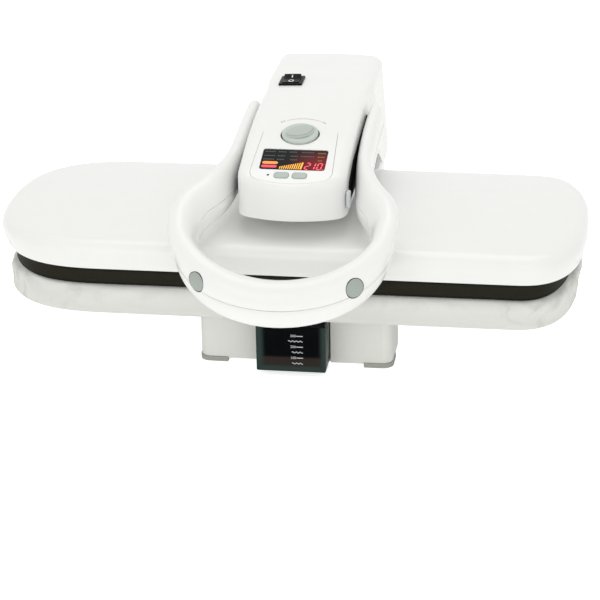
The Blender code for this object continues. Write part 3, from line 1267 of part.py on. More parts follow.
def make_knob():
    place = arm_frame_at(KNOB_Y)
    add_body("knob", "arm", tuple(place.translation))
    low = -KNOB_SKIRT_DEPTH
    inner = KNOB_RADIUS - FASCIA_WALL
    shoulder = KNOB_RADIUS * KNOB_SHOULDER_SHARE
    profile = [(0, KNOB_RIM_HEIGHT * KNOB_DISH_SHARE), (inner * KNOB_DISH_SHARE, KNOB_RIM_HEIGHT),
               (shoulder, KNOB_RIM_HEIGHT * KNOB_SHOULDER_SHARE), (KNOB_RADIUS, KNOB_RIM_HEIGHT / 2),
               (KNOB_RADIUS, low), (0, low)]
    disc = turned(profile, (0, 0, 0), ALONG_Z, 28)
    stem = rod(KNOB_STEM_RADIUS, KNOB_STEM_LENGTH, (0, 0, low - KNOB_STEM_LENGTH / 2 + GAP), ALONG_Z, 12)
    half = KNOB_GRIP_HALF_WIDTH
    reach = KNOB_RADIUS * KNOB_GRIP_SHARE
    lens = []
    for k in range(16):
        a = 2 * math.pi * k / 16
        lens.append((reach * math.cos(a) * abs(math.cos(a)) ** 0.1, half * math.sin(a)))
    grip = prism(lens, KNOB_GRIP_HEIGHT + KNOB_RIM_HEIGHT / 2)
    grip = freeze(bevel(grip, half / 3, 2))
    lift = KNOB_RIM_HEIGHT / 2 + (KNOB_GRIP_HEIGHT + KNOB_RIM_HEIGHT / 2) / 2
    grip.data.transform(Matrix.Translation((0, 0, lift)) @ Matrix.Rotation(KNOB_GRIP_ANGLE, 4, "Z"))
    knob = join(disc, [stem, grip])
    knob.data.transform(place)
    keep(knob, "selector_knob", GREY, "knob")

    stem_foot = low - KNOB_STEM_LENGTH + GAP
    high = low - 2 * RUN_GAP
    foot = high - CONTROL_BODY_HEIGHT - GAP
    cup = [(0, stem_foot - GAP), (KNOB_STEM_RADIUS + GAP, stem_foot - GAP), (KNOB_STEM_RADIUS + GAP, high),
           (CONTROL_BODY_RADIUS, high), (CONTROL_BODY_RADIUS, foot), (0, foot)]
    control = turned(cup, (0, 0, 0), ALONG_Z, 20)
    control.data.transform(place)
    keep(control, "knob_control", BLACK, "arm")


# Mains switch
def make_switch():
    place = arm_frame_at(SWITCH_Y, SWITCH_X)
    pivot = place @ Matrix.Translation((0, 0, SWITCH_FLANGE - ROCKER_PIVOT_DROP))
    add_body("rocker", "arm", tuple(pivot.translation))
    flange = prism(rounded_box(SWITCH_WIDTH, SWITCH_LENGTH, SWITCH_LIP), SWITCH_FLANGE - GAP,
                   (0, 0, (SWITCH_FLANGE + GAP) / 2))
    inner_w, inner_l = SWITCH_WIDTH - 2 * SWITCH_LIP, SWITCH_LENGTH - 2 * SWITCH_LIP
    box = prism(rounded_box(inner_w, inner_l, SWITCH_LIP), SWITCH_BODY_DEPTH,
                (0, 0, SWITCH_FLANGE / 2 + GAP - SWITCH_BODY_DEPTH / 2))
    well_w = ROCKER_WIDTH + 2 * GAP
    well_l = ROCKER_LENGTH + 2 * GAP
    well_deep = ROCKER_DEPTH + 4 * RUN_GAP
    well = block((well_w, well_l, well_deep + OVERRUN), (0, 0, SWITCH_FLANGE + OVERRUN / 2 - well_deep / 2))
    housing = boolean(join(flange, [box]), [well])
    housing.data.transform(place)
    keep(housing, "switch_housing", BLACK, "arm")

    half = ROCKER_LENGTH / 2
    rise, dip = ROCKER_PIVOT_DROP + ROCKER_RISE, ROCKER_PIVOT_DROP + ROCKER_DIP
    tip = math.sqrt(half ** 2 - rise ** 2)
    outline = [(0, dip), (-tip, rise)]
    start = math.degrees(math.atan2(rise, -tip))
    outline += arc((0, 0), half, start, 208, 5)[1:]
    outline += [(0, -ROCKER_DEPTH + ROCKER_PIVOT_DROP)]
    outline += [(-y, z) for y, z in reversed(outline[1:-1])]
    rocker = prism(outline, ROCKER_WIDTH, (0, 0, 0), SIDE_VIEW)
    rocker.data.transform(pivot @ Matrix.Rotation(ROCKER_TILT, 4, "X"))
    keep(rocker, "power_rocker", BLACK, "rocker")


# Ring handle
SIDE_OUT_SHARES = ((0, 1), (0.07, 0.984), (0.155, 0.826), (0.28, 0.447), (0.42, 0.205), (0.58, 0.062),
                   (0.76, 0.021), (0.88, 0.008), (1, 0))
SIDE_RISE_SHARES = ((0, 0), (0.07, 0.17), (0.155, 0.33), (0.28, 0.47), (0.42, 0.58), (0.58, 0.70),
                    (0.76, 0.84), (0.88, 0.93), (1, 1))
SLIM_SHARES = (0.1, 0.6)
LEAN_SHARES = (0.1, 0.7)
END_STEPS = 4
END_REACH_SHARE = 0.91
WIDEST_LEAN = math.radians(20)


def handle_stations():
    """Centres and section sizes of the handle's right half, from the front of the grip to the pivot's end"""
    stations = []
    grip_y = -GRIP_FRONT + GRIP_HALF_DEPTH
    for i in range(FRONT_STEPS):
        a = math.pi / 2 * i / FRONT_STEPS
        share = 1 - math.cos(a)
        centre = (RING_HALF_WIDTH * math.sin(a), RING_Y + (grip_y - RING_Y) * math.cos(a),
                  GRIP_CENTRE_Z + (RING_Z - GRIP_CENTRE_Z) * share)
        mix = smooth_share(i, 0, FRONT_STEPS)
        half_t = GRIP_HALF_DEPTH + (RING_HALF_THICKNESS - GRIP_HALF_DEPTH) * mix
        half_h = GRIP_HALF_HEIGHT + (RING_HALF_HEIGHT - GRIP_HALF_HEIGHT) * mix
        stations.append((centre, half_t, half_h, WIDEST_LEAN * mix))
    for (along, out), (_, rise) in zip(SIDE_OUT_SHARES, SIDE_RISE_SHARES):
        centre = (PIVOT_X + (RING_HALF_WIDTH - PIVOT_X) * out, RING_Y + (PIVOT_Y - RING_Y) * along,
                  RING_Z + (PIVOT_Z - RING_Z) * rise)
        half_t = RING_HALF_THICKNESS + (CHEEK_HALF_THICKNESS - RING_HALF_THICKNESS) * smooth_share(
            along, *SLIM_SHARES)
        half_h = RING_HALF_HEIGHT + (CHEEK_HALF_HEIGHT - RING_HALF_HEIGHT) * along
        stations.append((centre, half_t, half_h, WIDEST_LEAN * (1 - smooth_share(along, *LEAN_SHARES))))
    for k in range(END_STEPS + 1):
        a = math.pi / 2 * END_REACH_SHARE * k / END_STEPS
        centre = (PIVOT_X, PIVOT_Y + TAIL_LENGTH + CHEEK_HALF_HEIGHT * math.sin(a), PIVOT_Z + TAIL_RISE)
        stations.append((centre, CHEEK_HALF_THICKNESS, CHEEK_HALF_HEIGHT * math.cos(a), 0))
    return stations


def section_frames(stations):
    """Outward and upward directions of each station's section"""
    frames = []
    for i, (centre, half_t, half_h, tilt) in enumerate(stations):
        before = Vector(stations[max(i - 1, 0)][0])
        after = Vector(stations[min(i + 1, len(stations) - 1)][0])
        run = (after - before).normalized()
        if i == 0:
            run = Vector((1, 0, 0))
        out = Vector((run.y, -run.x, 0)).normalized()
        up = out.cross(run).normalized()
        if up.z < 0:
            up = -up
        turn = Matrix.Rotation(-tilt, 3, run)
        if (turn @ up).dot(out) < 0:
            turn = Matrix.Rotation(tilt, 3, run)
        frames.append((Vector(centre), turn @ out, turn @ up))
    return frames


def section_point(frame, half_t, half_h, angle):
    """A point on a section's superellipse, the angle from its outward side towards its top"""
    centre, out, up = frame
    c, s = math.cos(angle), math.sin(angle)
    x = math.copysign(abs(c) ** (2 / SECTION_POWER), c)
    z = math.copysign(abs(s) ** (2 / SECTION_POWER), s)
    return centre + out * half_t * x + up * half_h * z


def handle_skin(first, last, steps, margin):
    """A shell of the handle between two section angles: a hollow loft, closed at the rear end"""
    stations = handle_stations()
    frames = section_frames(stations)
    work = bmesh.new()
    outer, inner = [], []
    for (_, half_t, half_h, _), frame in zip(stations, frames):
        trim = margin / half_h
        angles = [first + trim + (last - first - 2 * trim) * k / steps for k in range(steps + 1)]
        lines = [[section_point(frame, half_t, half_h, a) for a in angles],
                 [section_point(frame, half_t - HANDLE_WALL, half_h - HANDLE_WALL, a) for a in angles]]
        for line, grid in zip(lines, (outer, inner)):
            if not grid:
                for point in line:
                    point.x = 0
            grid.append(line)
    inner.pop()
    outer = [[work.verts.new(point) for point in line] for line in outer]
    inner = [[work.verts.new(point) for point in line] for line in inner]
    for grid in (outer, inner):
        for near, far in zip(grid, grid[1:]):
            for k in range(steps):
                work.faces.new((near[k], near[k + 1], far[k + 1], far[k]))
    for k in (0, steps):
        for i in range(len(inner) - 1):
            work.faces.new((outer[i][k], outer[i + 1][k], inner[i + 1][k], inner[i][k]))
    work.faces.new(outer[-1])
    work.faces.new(inner[-1])
    work.faces.new((outer[-1][0], outer[-2][0], inner[-1][0], inner[-1][steps], outer[-2][steps],
                    outer[-1][steps]))
    return mirrored_loft(work)


def mirrored_loft(work):
    """The whole solid from the right half of a loft"""
    copy = bmesh.ops.duplicate(work, geom=list(work.verts) + list(work.edges) + list(work.faces))
    moved = [item for item in copy["geom"] if isinstance(item, bmesh.types.BMVert)]
    bmesh.ops.scale(work, verts=moved, vec=(-1, 1, 1))
    bmesh.ops.remove_doubles(work, verts=work.verts, dist=GAP / 30)
    bmesh.ops.recalc_face_normals(work, faces=work.faces)
    mesh = bpy.data.meshes.new("loft")
    work.to_mesh(mesh)
    work.free()
    made = bpy.data.objects.new("loft", mesh)
    bpy.context.scene.collection.objects.link(made)
    return made


def handle_core():
    """Cast frame inside the handle: a closed loft with a smaller section, from hub to hub"""
    stations = [s for s in handle_stations() if s[0][1] <= PIVOT_Y + GAP][::2]
    frames = section_frames(stations)
    work = bmesh.new()
    grid = []
    sides = 6
    for station, frame in zip(stations, frames):
        _, half_t, half_h, _ = station
        line = []
        for k in range(sides):
            angle = 2 * math.pi * (k + 0.5) / sides
            point = section_point(frame, half_t * CORE_SHARE, half_h * CORE_SHARE, angle)
            line.append(work.verts.new(point))
        grid.append(line)
    for vert in grid[0]:
        vert.co.x = 0
    for near, far in zip(grid, grid[1:]):
        for k in range(sides):
            work.faces.new((near[k], near[(k + 1) % sides], far[(k + 1) % sides], far[k]))
    work.faces.new(grid[-1])
    return mirrored_loft(work)


def button_frame(side):
    """Place and turn of a steam button: its Z axis points out of the handle"""
    a = BUTTON_ARC
    grip_y = -GRIP_FRONT + GRIP_HALF_DEPTH
    centre = Vector((RING_HALF_WIDTH * math.sin(a), RING_Y + (grip_y - RING_Y) * math.cos(a),
                     GRIP_CENTRE_Z + (RING_Z - GRIP_CENTRE_Z) * (1 - math.cos(a))))
    run = Vector((RING_HALF_WIDTH * math.cos(a), -(grip_y - RING_Y) * math.sin(a), 0)).normalized()
    out = Vector((run.y, -run.x, 0))
    mix = smooth_share(a, 0, math.pi / 2)
    half_t = GRIP_HALF_DEPTH + (RING_HALF_THICKNESS - GRIP_HALF_DEPTH) * mix
    face = centre + out * half_t + Vector((0, 0, BUTTON_RAISE))
    face.x *= side
    out.x *= side
    across = Vector((0, 0, 1)).cross(out)
    turn = Matrix((across, Vector((0, 0, 1)), out)).transposed().to_4x4()
    return Matrix.Translation(face) @ turn, centre.copy(), out


def oval(width, height, steps=16):
    return [(width / 2 * math.cos(2 * math.pi * k / steps), height / 2 * math.sin(2 * math.pi * k / steps))
            for k in range(steps)]


def make_handle():
    parting = math.asin(PARTING_SHARE ** (SECTION_POWER / 2))
    shells = {"handle_upper_shell": (-parting, math.pi + parting, UPPER_STEPS),
              "handle_lower_shell": (math.pi + parting, 2 * math.pi - parting, LOWER_STEPS)}
    for name, (first, last, steps) in shells.items():
        shell = handle_skin(first, last, steps, GAP)
        cuts = [rod(HANDLE_SHAFT_RADIUS + GAP, 2 * (PIVOT_X + CHEEK_HALF_THICKNESS - HANDLE_WALL - GAP / 2),
                    (0, PIVOT_Y, PIVOT_Z))]
        for side in (-1, 1):
            place, _, _ = button_frame(side)
            hole = prism(oval(BUTTON_WIDTH + 2 * GAP, BUTTON_HEIGHT + 2 * GAP), 2 * BUTTON_DEPTH)
            hole.data.transform(place)
            cuts.append(hole)
        keep(boolean(shell, cuts), name, WHITE, "handle")

    core = handle_core()
    for side in (-1, 1):
        core = join(core, [rod(HUB_OUTER_RADIUS, 2 * CHEEK_HALF_THICKNESS - 2 * HANDLE_WALL - 6 * GAP,
                               (side * PIVOT_X, PIVOT_Y, PIVOT_Z), ALONG_X, 24)])
    core = boolean(core, [rod(HANDLE_SHAFT_RADIUS + GAP, 4 * PIVOT_X, (0, PIVOT_Y, PIVOT_Z))])
    keep(core, "handle_core", ALUMINIUM, "handle")

    half_length = PIVOT_X + CHEEK_HALF_THICKNESS - HANDLE_WALL - GAP
    keep(rod(HANDLE_SHAFT_RADIUS, 2 * half_length, (0, PIVOT_Y, PIVOT_Z)), "handle_shaft", STEEL, "handle")

    lobe_y = PIVOT_Y - CAM_OFFSET * math.sin(CAM_LEAD)
    lobe_z = PIVOT_Z - CAM_OFFSET * math.cos(CAM_LEAD)
    lobe_radius = lobe_z - BRIDGE_TOP - GAP
    for side, label in ((-1, "left"), (1, "right")):
        lobe = rod(lobe_radius, 2 * CAM_HALF_WIDTH, (side * CAM_X, lobe_y, lobe_z), ALONG_X, 36)
        cam = boolean(lobe, [rod(HANDLE_SHAFT_RADIUS + GAP, 4 * CAM_X, (0, PIVOT_Y, PIVOT_Z))])
        keep(cam, "pressure_cam_" + label, STEEL, "handle")

    for side, label in ((-1, "left"), (1, "right")):
        place, centre, out = button_frame(side)
        add_body("steam_button_" + label, "handle", tuple(place.translation))
        button = prism(oval(BUTTON_WIDTH, BUTTON_HEIGHT), BUTTON_DEPTH)
        button = freeze(bevel(button, BUTTON_BALL, 2))
        button.data.transform(place @ Matrix.Translation((0, 0, BUTTON_PROUD - BUTTON_DEPTH / 2)))
        keep(button, "steam_button_" + label, GREY, "steam_button_" + label)


# Pressing plate
def make_plate():
    outline = plate_outline()
    lean_in = COVER_EDGE_HEIGHT - COVER_EDGE_RADIUS - LIP_HEIGHT

    def crown(u, w):
        share = 1 - (w / PLATE_HALF_DEPTH) ** 2
        reach = PLATE_REACH_LEFT if u < 0 else PLATE_REACH_RIGHT
        return COVER_EDGE_HEIGHT + (COVER_TOP - COVER_EDGE_HEIGHT) * share * (1 - (u / reach) ** 4)

    slope = COVER_LEAN_SHARE * lean_in * 2
    rows = [(SKIRT_INSET - GAP, 1, level(LIP_HEIGHT), 1), (LIP_RADIUS, 1, level(LIP_HEIGHT), 1),
            (0, 1, level(LIP_HEIGHT + LIP_RADIUS), 1),
            (slope / 2, 1, level(LIP_HEIGHT + lean_in * COVER_MIDDLE_SHARE), MIDDLE_PULL_SHARE),
            (slope, 1, level(COVER_EDGE_HEIGHT - COVER_EDGE_RADIUS), EDGE_PULL_SHARE)]
    for k in (1, 2, 3):
        a = math.pi / 2 * k / 3
        drop = COVER_EDGE_RADIUS * (1 - math.sin(a))
        rows.append((slope + COVER_EDGE_RADIUS * (1 - math.cos(a)), 1, lambda u, w, d=drop: crown(u, w) - d))
    for share in (0.7, 0.35, 0):
        rows.append((slope + COVER_EDGE_RADIUS, share, crown))
    cover = skin(outline, rows, COVER_WALL)
    hatch = between((-HATCH_HALF_WIDTH, HATCH_FRONT, LIP_HEIGHT), (HATCH_HALF_WIDTH, HATCH_BACK, ARM_TOP))
    keep(boolean(cover, [hatch]), "plate_cover", WHITE, "plate")

    keep(band(SKIRT_INSET, SKIRT_BOTTOM, SKIRT_BOTTOM + SKIRT_HEIGHT), "heat_skirt", SKIRT_DARK, "plate")

    sole_inset = SKIRT_INSET + SKIRT_WALL + GAP
    sole_top = SOLE_BOTTOM + SOLE_THICKNESS
    sole = slab(under_plate_outline(sole_inset), SOLE_BOTTOM, sole_top, "x", SOLE_EDGE_RADIUS)
    holes = []
    start = -STEAM_HOLE_PITCH * (STEAM_HOLES_IN_ROW - 1) / 2 - ORIGIN_X
    for row in (-1, 0, 1):
        for i in range(STEAM_HOLES_IN_ROW):
            x = start + STEAM_HOLE_PITCH * i
            y = row * STEAM_ROW_OFFSET
            if row or abs(x - CHAMBER_PLACE) < CHAMBER_LENGTH / 2 - STEAM_HOLE_PITCH / 2:
                holes.append(rod(STEAM_HOLE_RADIUS, 3 * SOLE_THICKNESS, (x, y, SOLE_BOTTOM), ALONG_Z, 6))
    keep(boolean(sole, [merge(holes)]), "sole_plate", ALUMINIUM, "plate")

    shield = skin(under_plate_outline(0), [(SHIELD_INSET, 1, level(sole_top + GAP)),
                                           (SHIELD_INSET, 1, level(sole_top + SHIELD_HEIGHT)),
                                           (SHIELD_INSET, 0, level(sole_top + SHIELD_HEIGHT))], SHIELD_WALL)
    hatch = between((-HATCH_HALF_WIDTH, HATCH_FRONT, sole_top + CHAMBER_HEIGHT),
                    (HATCH_HALF_WIDTH, HATCH_BACK, ARM_TOP))
    keep(boolean(shield, [hatch]), "heat_shield", STEEL, "plate")

    make_heater(outline, sole_top)
    make_bridge(sole_top)


def band(inset, low, high):
    """A ring of even wall along the outline of what hangs under the cover"""
    outer = slab(under_plate_outline(inset), low, high)
    inner = slab(under_plate_outline(inset + SKIRT_WALL), low - OVERRUN, high + OVERRUN)
    return boolean(outer, [inner])


def merge(pieces):
    """Several separate solids as one object, for one cut"""
    work = bmesh.new()
    for piece in pieces:
        work.from_mesh(piece.data)
        bpy.data.objects.remove(piece, do_unlink=True)
    mesh = bpy.data.meshes.new("merged")
    work.to_mesh(mesh)
    work.free()
    made = bpy.data.objects.new("merged", mesh)
    bpy.context.scene.collection.objects.link(made)
    return made


def make_heater(outline, sole_top):
    seat = sole_top + GAP
    z = seat + ELEMENT_RADIUS
    track = inset_line(outline, ELEMENT_INSET)
    loop = [(u, w) for u, w in track if w > 0][::2]
    ring = [(u, w, z) for u, w in loop] + [(u, -w, z) for u, w in reversed(loop)]
    lowest = ring[-1]
    ring = ring + [(lowest[0], lowest[1], z + ELEMENT_TERMINAL_HEIGHT)]
    ring = [(ring[0][0], ring[0][1], z + ELEMENT_TERMINAL_HEIGHT)] + ring
    keep(tube(ring, ELEMENT_RADIUS, 1), "heating_element", STEEL, "plate")

    lid = between((CHAMBER_PLACE - CHAMBER_LENGTH / 2, -CHAMBER_DEPTH / 2, seat),
                  (CHAMBER_PLACE + CHAMBER_LENGTH / 2, CHAMBER_DEPTH / 2, seat + CHAMBER_HEIGHT),
                  CHAMBER_EDGE_RADIUS)
    nozzle_z = seat + CHAMBER_HEIGHT + NOZZLE_HEIGHT / 2 - CHAMBER_HEIGHT / 4
    nozzle = rod(NOZZLE_RADIUS, NOZZLE_HEIGHT + CHAMBER_HEIGHT / 2, (0, HATCH_FRONT / 2, nozzle_z), ALONG_Z, 16)
    leg = BRIDGE_HALF_WIDTH - BRIDGE_WALL / 2
    slots = [between((side * leg - BRIDGE_WALL, BRIDGE_FRONT - GAP, seat - OVERRUN),
                     (side * leg + BRIDGE_WALL, BRIDGE_BACK, seat + 2 * OVERRUN)) for side in (-1, 1)]
    keep(boolean(join(lid, [nozzle]), slots), "steam_chamber_lid", ALUMINIUM, "plate")

    middle = seat + THERMOSTAT_HEIGHT / 2
    body = rod(THERMOSTAT_RADIUS, THERMOSTAT_HEIGHT, (THERMOSTAT_PLACE, 0, middle), ALONG_Z)
    keep(body, "thermostat", BLACK, "plate")


def make_bridge(sole_top):
    low = sole_top + GAP
    w, t = BRIDGE_HALF_WIDTH, BRIDGE_WALL
    outline = [(-w, low), (-w, BRIDGE_TOP), (w, BRIDGE_TOP), (w, low), (w - t, low), (w - t, BRIDGE_TOP - t),
               (-w + t, BRIDGE_TOP - t), (-w + t, low)]
    middle = (BRIDGE_FRONT + BRIDGE_BACK) / 2
    bridge = prism(outline, BRIDGE_BACK - BRIDGE_FRONT, (0, middle, 0), FRONT_VIEW)
    holes = [rod(POST_RADIUS + GAP, 4 * BRIDGE_WALL, (side * POST_X, POST_Y, BRIDGE_TOP), ALONG_Z, 16)
             for side in (-1, 1)]
    keep(boolean(bridge, holes), "pressure_bridge", STEEL, "plate")


def make_steam_hose():
    """Silicone hose from the steam chamber up through the hatch and back to the hinge"""
    seat = SOLE_BOTTOM + SOLE_THICKNESS + GAP + CHAMBER_HEIGHT + NOZZLE_HEIGHT
    x, front = 0, HATCH_FRONT / 2
    run_z = BRIDGE_TOP + HOSE_RADIUS + 4 * RUN_GAP
    bend = run_z - BRIDGE_TOP + 4 * HOSE_RADIUS
    points = [(x, front, seat + GAP), (x, front, (seat + run_z - bend) / 2), (x, front, run_z - bend)]
    for k in range(1, 6):
        a = math.pi / 2 * k / 5
        points.append((x, front + bend * (1 - math.cos(a)), run_z - bend * (1 - math.sin(a))))
    end = HINGE_Y - HUB_RADIUS - OVERRUN
    steps = 6
    for k in range(1, steps + 1):
        points.append((x, front + bend + (end - front - bend) * k / steps, run_z))
    keep(tube(points, HOSE_RADIUS), "steam_hose", SILICONE, "plate")


# Carry lock
def make_lock():
    place = (ARM_HEAD_HALF_WIDTH, LOCK_Y, LOCK_Z)
    add_body("lock", "arm", place)
    x = ARM_HEAD_HALF_WIDTH
    stem = between((x - ARM_WALL - LOCK_HEAD_WALL, LOCK_Y - LOCK_LENGTH / 2, LOCK_Z - LOCK_STEM_HEIGHT / 2),
                   (x + LOCK_PROUD / 2, LOCK_Y + LOCK_LENGTH / 2, LOCK_Z + LOCK_STEM_HEIGHT / 2))
    head = between((x + GAP, LOCK_Y - LOCK_LENGTH / 2, LOCK_Z - LOCK_HEIGHT / 2),
                   (x + LOCK_PROUD, LOCK_Y + LOCK_LENGTH / 2, LOCK_Z + LOCK_HEIGHT / 2), LOCK_PROUD / 5)
    keep(join(stem, [head]), "carry_lock", WHITE, "lock")


make_base()
make_inlet()
make_column()
make_hinge()
make_board()
make_tank()
make_power_board()
make_arm_covers()
make_arm_frame()
make_panel()
make_knob()
make_switch()
make_handle()
make_plate()
make_steam_hose()
make_lock()
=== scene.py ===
"""Steam ironing press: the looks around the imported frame."""

import json
import math

import bpy
from mathutils import Matrix, Vector, noise


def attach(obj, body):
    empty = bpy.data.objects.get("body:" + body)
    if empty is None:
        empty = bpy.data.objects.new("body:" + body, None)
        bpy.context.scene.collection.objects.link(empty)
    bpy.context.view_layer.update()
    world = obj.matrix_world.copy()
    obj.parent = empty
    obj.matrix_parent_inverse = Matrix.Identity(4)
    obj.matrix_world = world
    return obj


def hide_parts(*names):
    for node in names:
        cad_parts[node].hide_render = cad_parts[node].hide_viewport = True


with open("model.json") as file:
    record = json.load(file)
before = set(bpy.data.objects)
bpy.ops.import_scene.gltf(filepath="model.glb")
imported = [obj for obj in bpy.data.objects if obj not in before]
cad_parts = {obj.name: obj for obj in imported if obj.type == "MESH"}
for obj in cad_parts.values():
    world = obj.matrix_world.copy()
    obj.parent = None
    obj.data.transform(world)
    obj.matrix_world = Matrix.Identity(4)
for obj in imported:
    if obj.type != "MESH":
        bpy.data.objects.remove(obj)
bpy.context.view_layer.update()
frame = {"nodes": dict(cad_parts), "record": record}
nodes = frame["nodes"]

# --------------------------------------------------------------------------------------------
# Camera
# The photo is taken from a little to the right of the press with a long lens, about 2.6 m away.
# Its place and turn were fitted to the straight edges of the plate, the base and the arm.
# --------------------------------------------------------------------------------------------

lens = bpy.data.cameras.new("camera")
lens.sensor_width = 36
lens.lens = 144.486
camera = bpy.data.objects.new("camera", lens)
bpy.context.scene.collection.objects.link(camera)
camera.location = (0.4155, -2.61856, 1.17398)
camera.rotation_euler = [math.radians(turn) for turn in (66.8392, 1.0433, 8.465)]
bpy.context.scene.camera = camera
bpy.context.scene.view_settings.view_transform = "Standard"

# --------------------------------------------------------------------------------------------
# Light
# A studio with a large soft lamp above and a weaker one on each side of the camera. Its pale
# walls light the press; the camera, clear pieces and reflections see them as plain white.
# --------------------------------------------------------------------------------------------


def colour(text):
    """A written sRGB colour such as f3f4f5 as the linear values that a shader takes"""
    shares = [int(text[at:at + 2], 16) / 255 for at in (0, 2, 4)]
    return [c / 12.92 if c <= 0.04045 else ((c + 0.055) / 1.055) ** 2.4 for c in shares] + [1]


def add(tree, kind, *sources, **named):
    """Adds a node: sources fill its first inputs, a capital name is an input, a small one a field"""
    made = tree.nodes.new("ShaderNode" + kind)
    inputs = dict(enumerate(sources))
    for name, value in named.items():
        if name[0].islower():
            setattr(made, name, value)
        else:
            inputs[name.replace("_", " ")] = value
    for place, value in inputs.items():
        if isinstance(value, bpy.types.NodeSocket):
            tree.links.new(value, made.inputs[place])
        else:
            made.inputs[place].default_value = value
    return made


world = bpy.data.worlds.new("studio")
bpy.context.scene.world = world
world.use_nodes = True
tree = world.node_tree
tree.nodes.clear()
rays = add(tree, "LightPath").outputs
through = add(tree, "Math", rays["Is Transmission Ray"], rays["Is Glossy Ray"], operation="MAXIMUM")
seen = add(tree, "Math", rays["Is Camera Ray"], through.outputs[0], operation="MAXIMUM")
walls = add(tree, "Background", Color=colour("f4f4f1"), Strength=0.83)
white = add(tree, "Background", Color=colour("ffffff"), Strength=1)
studio = add(tree, "MixShader", seen.outputs[0], walls.outputs[0], white.outputs[0])
add(tree, "OutputWorld", studio.outputs[0])

for name, power, size, place, aim in (
    ("lamp_above", 9.5, 1.6, (0.1, 0.2, 2.0), (0, 0, 0.1)),
    ("lamp_front", 4.5, 1.4, (-0.7, -2.2, 0.9), (0, 0, 0.15)),
    ("lamp_right", 2.8, 1.2, (0.9, -2.2, 0.8), (0, 0, 0.15)),
):
    light = bpy.data.lights.new(name, "AREA")
    light.energy = power
    light.size = size
    lamp = bpy.data.objects.new(name, light)
    bpy.context.scene.collection.objects.link(lamp)
    lamp.location = place
    lamp.rotation_euler = (Vector(aim) - Vector(place)).to_track_quat("-Z", "Y").to_euler()

# Matt white paper, which the camera sees glow to plain white but for a faint shadow. Other rays
# see little more than the light that falls on it, so that it doesn't light the press from below
bpy.ops.object.select_all(action="DESELECT")
bpy.ops.mesh.primitive_plane_add(size=14, location=(0, 0, 0))
floor = bpy.context.object
floor.name = "floor"
made = bpy.data.materials.new("white_paper_sweep")
made.use_nodes = True
tree = made.node_tree
shader = tree.nodes["Principled BSDF"].inputs
grain = add(tree, "TexNoise", Scale=40)
tint = add(tree, "MixRGB", grain.outputs[0], colour("fdfdfd"), colour("ffffff"))
glow = add(tree, "MapRange", add(tree, "LightPath").outputs["Is Camera Ray"], To_Min=0.2, To_Max=0.72)
tree.links.new(tint.outputs[0], shader["Base Color"])
tree.links.new(glow.outputs[0], shader["Emission Strength"])
shader["Emission Color"].default_value = colour("ffffff")
shader["Roughness"].default_value = 0.9
floor.data.materials.append(made)

# --------------------------------------------------------------------------------------------
# Materials of the frame's own pieces
# Moulded plastics, rubber, plated steel, cast aluminium and the rest. Each has the slight drift
# of colour and gloss of its own skin, drawn as coarse as it needs to show at this distance.
# --------------------------------------------------------------------------------------------


def material(name, dark, light, roughness, spread=0.05, grain=0.004, bump=0.0, **extra):
    """A material from two colours, its roughness with a spread, and the size of its grain in metres"""
    made = bpy.data.materials.new(name)
    made.use_nodes = True
    tree = made.node_tree
    shader = tree.nodes["Principled BSDF"].inputs
    where = add(tree, "TexCoord").outputs["Object"]
    drift = add(tree, "TexNoise", Vector=where, Scale=1 / grain, Detail=4).outputs[0]
    tint = add(tree, "MixRGB", drift, colour(dark), colour(light))
    gloss = add(tree, "MapRange", drift, To_Min=roughness - spread, To_Max=roughness + spread)
    tree.links.new(tint.outputs[0], shader["Base Color"])
    tree.links.new(gloss.outputs[0], shader["Roughness"])
    if bump:
        relief = add(tree, "Bump", Height=drift, Distance=bump, Strength=0.5)
        tree.links.new(relief.outputs[0], shader["Normal"])
    for socket, value in extra.items():
        shader[socket.replace("_", " ")].default_value = value
    return made


